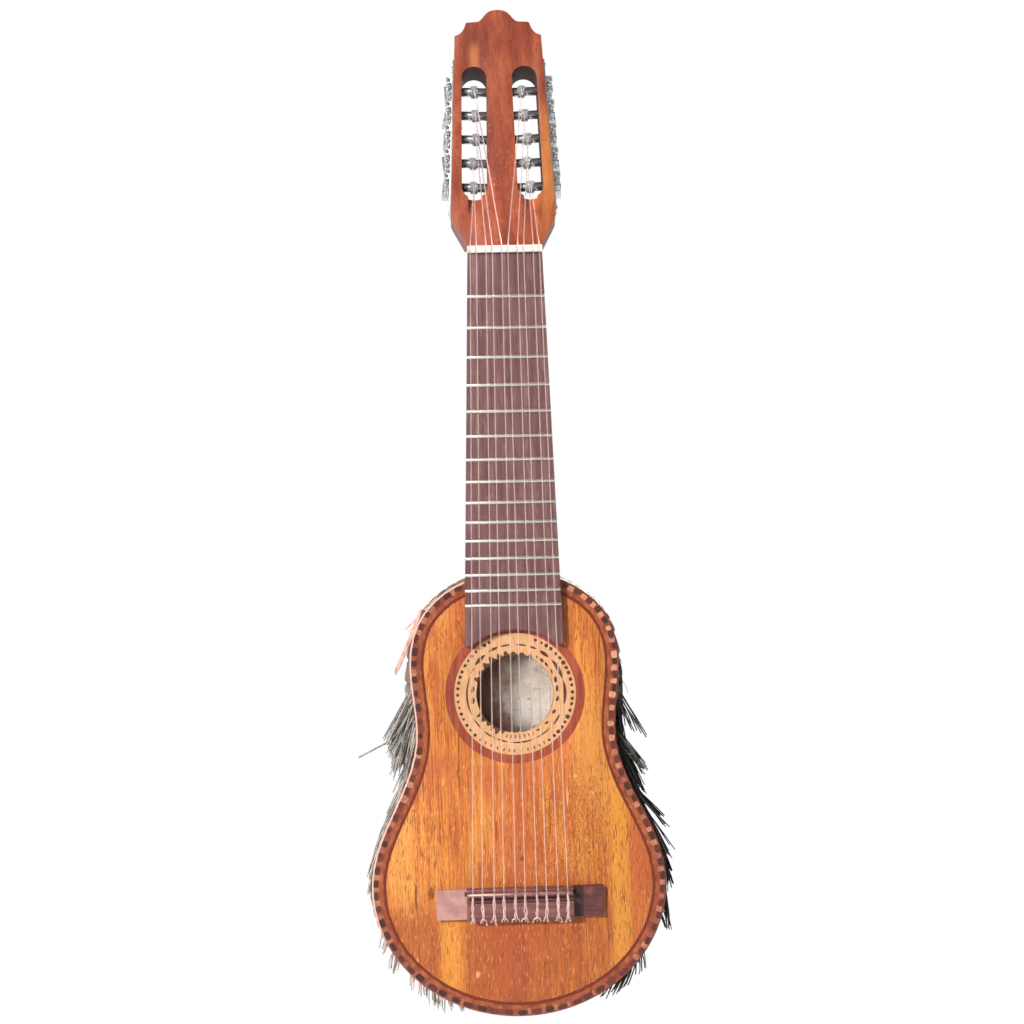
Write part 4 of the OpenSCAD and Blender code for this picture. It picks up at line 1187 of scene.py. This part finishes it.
def shell_relief(grid, total):
    """Relief height, tone and furrow depth of every grid point."""
    rows, columns = grid.shape[:2]
    around = np.stack([lengths_along(section) for section in grid])
    around -= around[:, -1:] / 2
    along = np.linspace(0, total, rows)
    rows_of_scutes, band = scute_rows(total)
    found = scutes(grid, around, rows_of_scutes, total)
    tree = KDTree(len(found))
    for k, (centre, _, _) in enumerate(found):
        tree.insert(Vector(centre), k)
    tree.balance()
    height, tone, furrow = (np.zeros((rows, columns)) for _ in range(3))
    for r, c in np.ndindex(rows, columns):
        (_, k, near), (_, _, far) = tree.find_n(Vector(grid[r, c]), 2)
        gap = (far - near) / 2
        _, tone[r, c], moving = found[k]
        slope, top, groove = (1.0, 0.35, 0.45) if moving else (1.6, 0.75, 0.75)
        height[r, c] = top * smoothstep(0, slope, gap)
        furrow[r, c] = 1 - min(1.0, gap / groove)
    in_bands = (along > total * BANDS_START) & (along < total * BANDS_END)
    phase = ((along - total * BANDS_START) / band) % 1
    lap = np.where(in_bands, 1.5 * (1 - phase) * smoothstep(0, 0.08, phase), 0.75)
    crease = np.where(in_bands, 1 - smoothstep(0.0, 0.1, np.minimum(phase, 1 - phase)), 0)
    furrow = np.maximum(furrow, crease[:, None])
    edge = np.minimum(around - around[:, :1], around[:, -1:] - around)
    ends = smoothstep(0, 8, total - along) * smoothstep(0, 5, along)
    height = (height + lap[:, None]) * smoothstep(0.5, 9, edge) * ends[:, None]
    return height, tone, furrow * smoothstep(0, 3, edge)


def shell():
    """The shell: horn outside with scutes in relief, pale hide inside, closed along its rim."""
    rows, columns = ((330, 230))
    grid, total = shell_grid(rows, columns)
    normals = grid_normals(grid)
    height, tone, furrow = shell_relief(grid, total)
    outer_points = (grid + normals * height[:, :, None]).reshape(-1, 3)
    middle = np.array([0, BOARD_T, TAIL_Z + BODY_LENGTH / 2])
    inner_grid, _ = shell_grid(*INSIDE_GRID)
    inner_points = (middle + (inner_grid - middle) * INSIDE_SCALE).reshape(-1, 3)
    outer = np.arange(rows * columns).reshape(rows, columns)
    inner = len(outer_points) + np.arange(len(inner_points)).reshape(INSIDE_GRID)
    horn_faces = grid_faces(outer)
    faces = horn_faces + grid_faces(inner[:, ::-1])
    for first, second in ((outer[:, 0], inner[:, 0]), (inner[:, -1], outer[:, -1]),
                          (outer[0, ::-1], inner[0, ::-1]), (outer[-1], inner[-1])):
        faces += stitch(first.tolist(), second.tolist())
    obj = make_mesh("armadillo_shell", np.concatenate([outer_points, inner_points]), faces,
                    [HORN, HIDE])
    for face in obj.data.polygons[len(horn_faces):]:
        face.material_index = 1
    for name, values in (("shade", tone), ("furrow", furrow)):
        mark_points(obj, name, np.concatenate([values.ravel(), np.zeros(len(inner_points))]))
    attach(obj, "root")
    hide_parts("carapace")
    return grid, normals


def stitch(first, second):
    """Triangles between two lines of points that run the same way."""
    faces, i, j = [], 0, 0
    while i < len(first) - 1 or j < len(second) - 1:
        go_first = j == len(second) - 1 or (
            i < len(first) - 1 and (i + 1) / (len(first) - 1) <= (j + 1) / (len(second) - 1))
        if go_first:
            faces.append((first[i + 1], first[i], second[j]))
            i += 1
        else:
            faces.append((first[i], second[j], second[j + 1]))
            j += 1
    return faces


shell_points, shell_normals = shell()


# ---- Bristles ----

def shell_side(side, rise, y):
    """Point of the shell's outside at a height above the tail and a depth behind the board."""
    half = float(np.interp(rise, edge_line[:, 1] - TAIL_Z, edge_line[:, 0]))
    section = shell_section(half, rise, 160)[:80]
    x = float(np.interp(y, section[:, 1], section[:, 0]))
    return np.array([side * x, y, rise + TAIL_Z])


def bristle(shapes, root, tip, bend, thick, value, steps=5):
    """A stiff blunt hair from root to tip, bowed by bend."""
    t = np.linspace(0, 1, steps)[:, None]
    line = root * (1 - t) + tip * t + bend * 4 * t * (1 - t)
    shapes.add(*tube(line, thick * (1 - 0.25 * t[:, 0] ** 2), 4), value=value)


BACK_HAIRS, FRINGE_LEFT, FRINGE_RIGHT = 420, 260, 320
# Tufts: side, height of the roots, half their spread, way out and down to the tips, hairs, shade
TUFTS = [
    (-1, 183, 8, 15, 27, 60, 0.62), (-1, 178, 7, 12, 37, 44, 0.56), (-1, 166, 9, 7, 27, 60, 0.55),
    (-1, 150, 9, 10, 30, 60, 0.6), (-1, 138, 8, 12, 27, 50, 0.62), (-1, 122, 8, 9, 27, 50, 0.64),
    (-1, 108, 8, 7, 25, 44, 0.66), (-1, 94, 7, 4, 20, 26, 0.6), (-1, 46, 4, 3, 8, 6, 0.7),
    (-1, 34, 5, 2.5, 9, 10, 0.7), (-1, 22, 5, 0.5, 9, 16, 0.75), (-1, 14, 3, 0.0, 10, 20, 0.75),
    (-1, 8, 2, 0.0, 6, 16, 0.75),
    (1, 243, 3, 10, 13, 5, 0.72), (1, 236, 2, 7, 12, 3, 0.72), (1, 187, 2, 16, 29, 5, 0.9),
    (1, 184, 4, 11, 23, 6, 0.75), (1, 172, 12, 3, 20, 60, 0.15), (1, 162, 5, 17, 22, 18, 0.6),
    (1, 158, 7, 14, 31, 40, 0.35), (1, 146, 9, 7, 25, 60, 0.2), (1, 136, 8, 8, 20, 44, 0.2),
    (1, 129, 5, 19, 22, 16, 0.65), (1, 122, 6, 16, 32, 40, 0.5), (1, 112, 8, 10, 28, 44, 0.3),
    (1, 98, 7, 6, 23, 26, 0.3), (1, 66, 6, 3, 20, 16, 0.5), (1, 58, 4, 3, 10, 10, 0.35),
    (1, 33, 2, 1.0, 10, 3, 0.6), (1, 30, 3, 0.0, 11, 5, 0.6), (1, 25, 5, -6, 14, 20, 0.5),
    (1, 18, 5, -5, 9, 12, 0.4),
]
# Single thick hairs: the way of each as points [x, y, z], its half thickness and shade
STRANDS = [
    ([[-54, 5, -207], [-61.5, 5, -225], [-69.5, 5, -243.5]], 0.95, 1.0),
    ([[-53, 4, -206], [-59.5, 4.5, -223], [-67.8, 4.5, -241]], 0.85, 0.96),
    ([[-55.5, 6, -210], [-62.5, 6, -226], [-69.8, 6, -242]], 0.7, 1.0),
    ([[-44, 5, -199], [-54, 5, -209], [-63, 5, -217.5]], 0.55, 0.98),
    ([[-46, 6, -201], [-55, 6, -212], [-61, 6, -219]], 0.3, 0.92),
    ([[-60, 5, -262], [-67, 5, -275], [-73, 5, -282], [-92.2, 6, -291.6]], 0.72, 0.42),
]


def tuft(shapes, side, rise, spread, out, down, count, value):
    """Hairs that lean the same way and close up towards their tips."""
    for _ in range(count):
        place = rng.uniform(-1, 1)
        root = shell_side(side, max(4, rise + place * spread), rng.uniform(3.5, 14))
        lean = rng.gauss(0, 0.045)
        way = np.array([side * (out * math.cos(lean) - down * math.sin(lean)), rng.gauss(0, 2),
                        -down * math.cos(lean) - out * math.sin(lean) - 0.35 * place * spread])
        length = rng.uniform(0.8, 1.0) if rng.random() < 0.75 else rng.uniform(0.5, 0.8)
        tip = root + way * length
        tip[2] = max(tip[2], TAIL_Z - 6)
        bend = np.array([side * rng.uniform(0, 0.6), rng.uniform(-0.5, 0.5), 0])
        shade = min(1, max(0, value + rng.gauss(0, 0.14)))
        bristle(shapes, root, tip, bend, rng.uniform(0.3, 0.46), shade)


def fringe(shapes, side, count, value):
    """Short hairs all along the shell's flank that lie along the edge."""
    for _ in range(count):
        rise = rng.uniform(84, 206 if side > 0 else 188)
        y = rng.uniform(4, 30)
        fall = rng.uniform(9, 20)
        root, tip = shell_side(side, rise, y), shell_side(side, max(2, rise - fall), y)
        tip[0] += side * rng.uniform(0.2, 1.6)
        tip[2] = max(rise - fall + TAIL_Z, TAIL_Z - 3)
        bend = np.array([side * rng.uniform(0.2, 0.9), 0, 0])
        bristle(shapes, root, tip, bend, rng.uniform(0.25, 0.38), rng.uniform(0.1, value))


def back_hair(pale, dark):
    """Sparse hairs that grow out of the creases between the shell's bands."""
    rows, columns = shell_points.shape[:2]
    band = (BANDS_END - BANDS_START) / BAND_COUNT
    for _ in range(BACK_HAIRS):
        share = BANDS_START + band * rng.randint(0, BAND_COUNT) + rng.gauss(0, 0.0012)
        r = int(share * (rows - 1))
        c = int(columns * rng.uniform(0.06, 0.94))
        root, n = shell_points[r, c], shell_normals[r, c]
        length = rng.uniform(4, 11)
        tip = root + n * rng.uniform(0.8, 2.2) + np.array([rng.uniform(-0.3, 0.3), 0, -1]) * length
        # each back hair takes the painted-light or the painted-shade hair set at random
        shade, shapes = rng.uniform(0.2, 0.8), rng.choice((pale, dark))
        bristle(shapes, root - n * 0.4, tip, n * 0.8, rng.uniform(0.1, 0.16), shade)


def bristles():
    """Tufts along the edge, a thin fringe between them, and short hair on the back; left hairs get
    painted light and right hairs painted shade.
    """
    pale, dark = Shapes(), Shapes()
    for side, *how in TUFTS:
        # side picks the material: painted light for the left, painted shade for the right
        tuft(pale if side < 0 else dark, side, *how)
    for way, thick, shade in STRANDS:
        line = smooth_line(way, 12, 1)
        pale.add(*tube(line, thick * np.linspace(1, 0.7, 12), 6), value=shade)
    fringe(pale, -1, FRINGE_LEFT, 0.7)
    fringe(dark, 1, FRINGE_RIGHT, 0.5)
    back_hair(pale, dark)
    left = pale.piece("bristles_painted_lit", [HAIR_PAINTED_LIT], sharp=80)
    right = dark.piece("bristles_painted_shaded", [HAIR_PAINTED_SHADED], sharp=80)
    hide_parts("bristles")


bristles()


# ---- Stage, light and camera, in metres ----

FLOOR_HALF, FLOOR_DROP = 12.0, 0.4
FILL_LEFT, FILL_RIGHT = 0.55, 0.06
VIEW_WIDTH, VIEW_LEAN = 0.5958, math.radians(1.37)
CAMERA_PLACE, CAMERA_TARGET = Vector((-0.03, -1.0, -0.1504)), Vector((0.0007, 0, -0.1504))


def stage():
    """Near-white floor below the object that meets the backdrop without a visible horizon."""
    p = Paint("pale_floor", Roughness=0.8)
    p.tone = p.ramp(p.grain(0, 400, 2), (0.3, (0.86, 0.86, 0.86)), (0.7, (0.9, 0.9, 0.9)))
    choose = p.node("MixShader")
    p.put(choose.inputs[0], p.node("LightPath").outputs["Is Camera Ray"])
    p.put(choose.inputs[1], p.surface.outputs[0])
    p.put(choose.inputs[2], p.node("Emission").outputs[0])
    p.put(p.tree.nodes["Material Output"].inputs["Surface"], choose.outputs[0])
    half = FLOOR_HALF / MM
    corners = [(-half, -half, 0), (half, -half, 0), (half, half, 0), (-half, half, 0)]
    floor = make_mesh("floor", corners, [(0, 1, 2, 3)], [p.finish()])
    floor.location = (0, 0, TAIL_Z * MM - FLOOR_DROP)


def world():
    """White backdrop behind the object, and a soft light on it, stronger from the left."""
    made = bpy.data.worlds.new("studio")
    bpy.context.scene.world = made
    made.use_nodes = True
    nodes, join = made.node_tree.nodes, made.node_tree.links.new
    backdrop, fill, choose, path, spread, side, share = nodes["Background"], *(
        nodes.new("ShaderNode" + kind) for kind in
        ("Background", "MixShader", "LightPath", "TexCoord", "SeparateXYZ", "MapRange"))
    backdrop.inputs["Color"].default_value = (1, 1, 1, 1)
    fill.inputs["Color"].default_value = (0.93, 0.96, 1, 1)
    for socket, number in zip(share.inputs[1:5], (-1, 1, FILL_LEFT, FILL_RIGHT)):
        socket.default_value = number
    join(spread.outputs["Generated"], side.inputs[0])
    join(side.outputs["X"], share.inputs[0])
    join(share.outputs[0], fill.inputs["Strength"])
    join(path.outputs["Is Camera Ray"], choose.inputs[0])
    join(fill.outputs[0], choose.inputs[1])
    join(backdrop.outputs[0], choose.inputs[2])
    join(choose.outputs[0], nodes["World Output"].inputs["Surface"])


def lamp(name, kind, place, target, energy, colour=(1, 1, 1), **settings):
    data = bpy.data.lights.new(name, kind)
    data.energy, data.color = energy, colour
    for key, value in settings.items():
        setattr(data, key, value)
    obj = link_object(name, data)
    obj.location = place
    obj.rotation_euler = (Vector(target) - Vector(place)).to_track_quat("-Z", "Y").to_euler()
    return obj


def inside_light():
    """Light through the soundhole from the left that reaches only the shell's inside."""
    hole = Vector((0, 0, HOLE_Z * MM))
    receivers = bpy.data.collections.new("lit_through_the_hole")
    receivers.objects.link(bpy.data.objects["armadillo_shell"])
    for side, energy in ((-0.08, 70), (-0.24, 150), (-0.4, 210)):
        obj = lamp("inside", "SPOT", hole + Vector((side, -1.0, 0.13)), hole, energy,
                   (1, 0.99, 0.95), spot_size=math.radians(3.4), spot_blend=0.2,
                   shadow_soft_size=0.1)
        obj.light_linking.receiver_collection = receivers


def camera():
    """Nearly straight at the soundboard, with the head leaning a little left."""
    way = CAMERA_TARGET - CAMERA_PLACE
    data = bpy.data.cameras.new("camera")
    data.sensor_width = 36
    data.lens = data.sensor_width * way.length / VIEW_WIDTH
    obj = link_object("camera", data)
    facing = way.to_track_quat("-Z", "Y").to_matrix().to_4x4()
    turn = Matrix.Rotation(-VIEW_LEAN, 4, "Z")
    obj.matrix_world = Matrix.Translation(CAMERA_PLACE) @ facing @ turn
    bpy.context.scene.camera = obj


stage()
world()
lamp("key", "SUN", (-0.85, -1.0, 0.6), (0, 0, 0), 3.45, (1, 0.97, 0.94),
     angle=math.radians(2.5))
lamp("soft", "AREA", (-1.6, -1.6, 0.9), (0, 0, -0.15), 8, (1, 0.98, 0.96), size=1.2)
lamp("back", "AREA", (1.1, 1.7, 0.9), (0, 0, -0.2), 30, (1, 0.99, 0.97), size=1.4)
inside_light()
camera()
bpy.context.scene.view_settings.view_transform = "Standard"
bpy.context.scene.view_settings.look = "None"
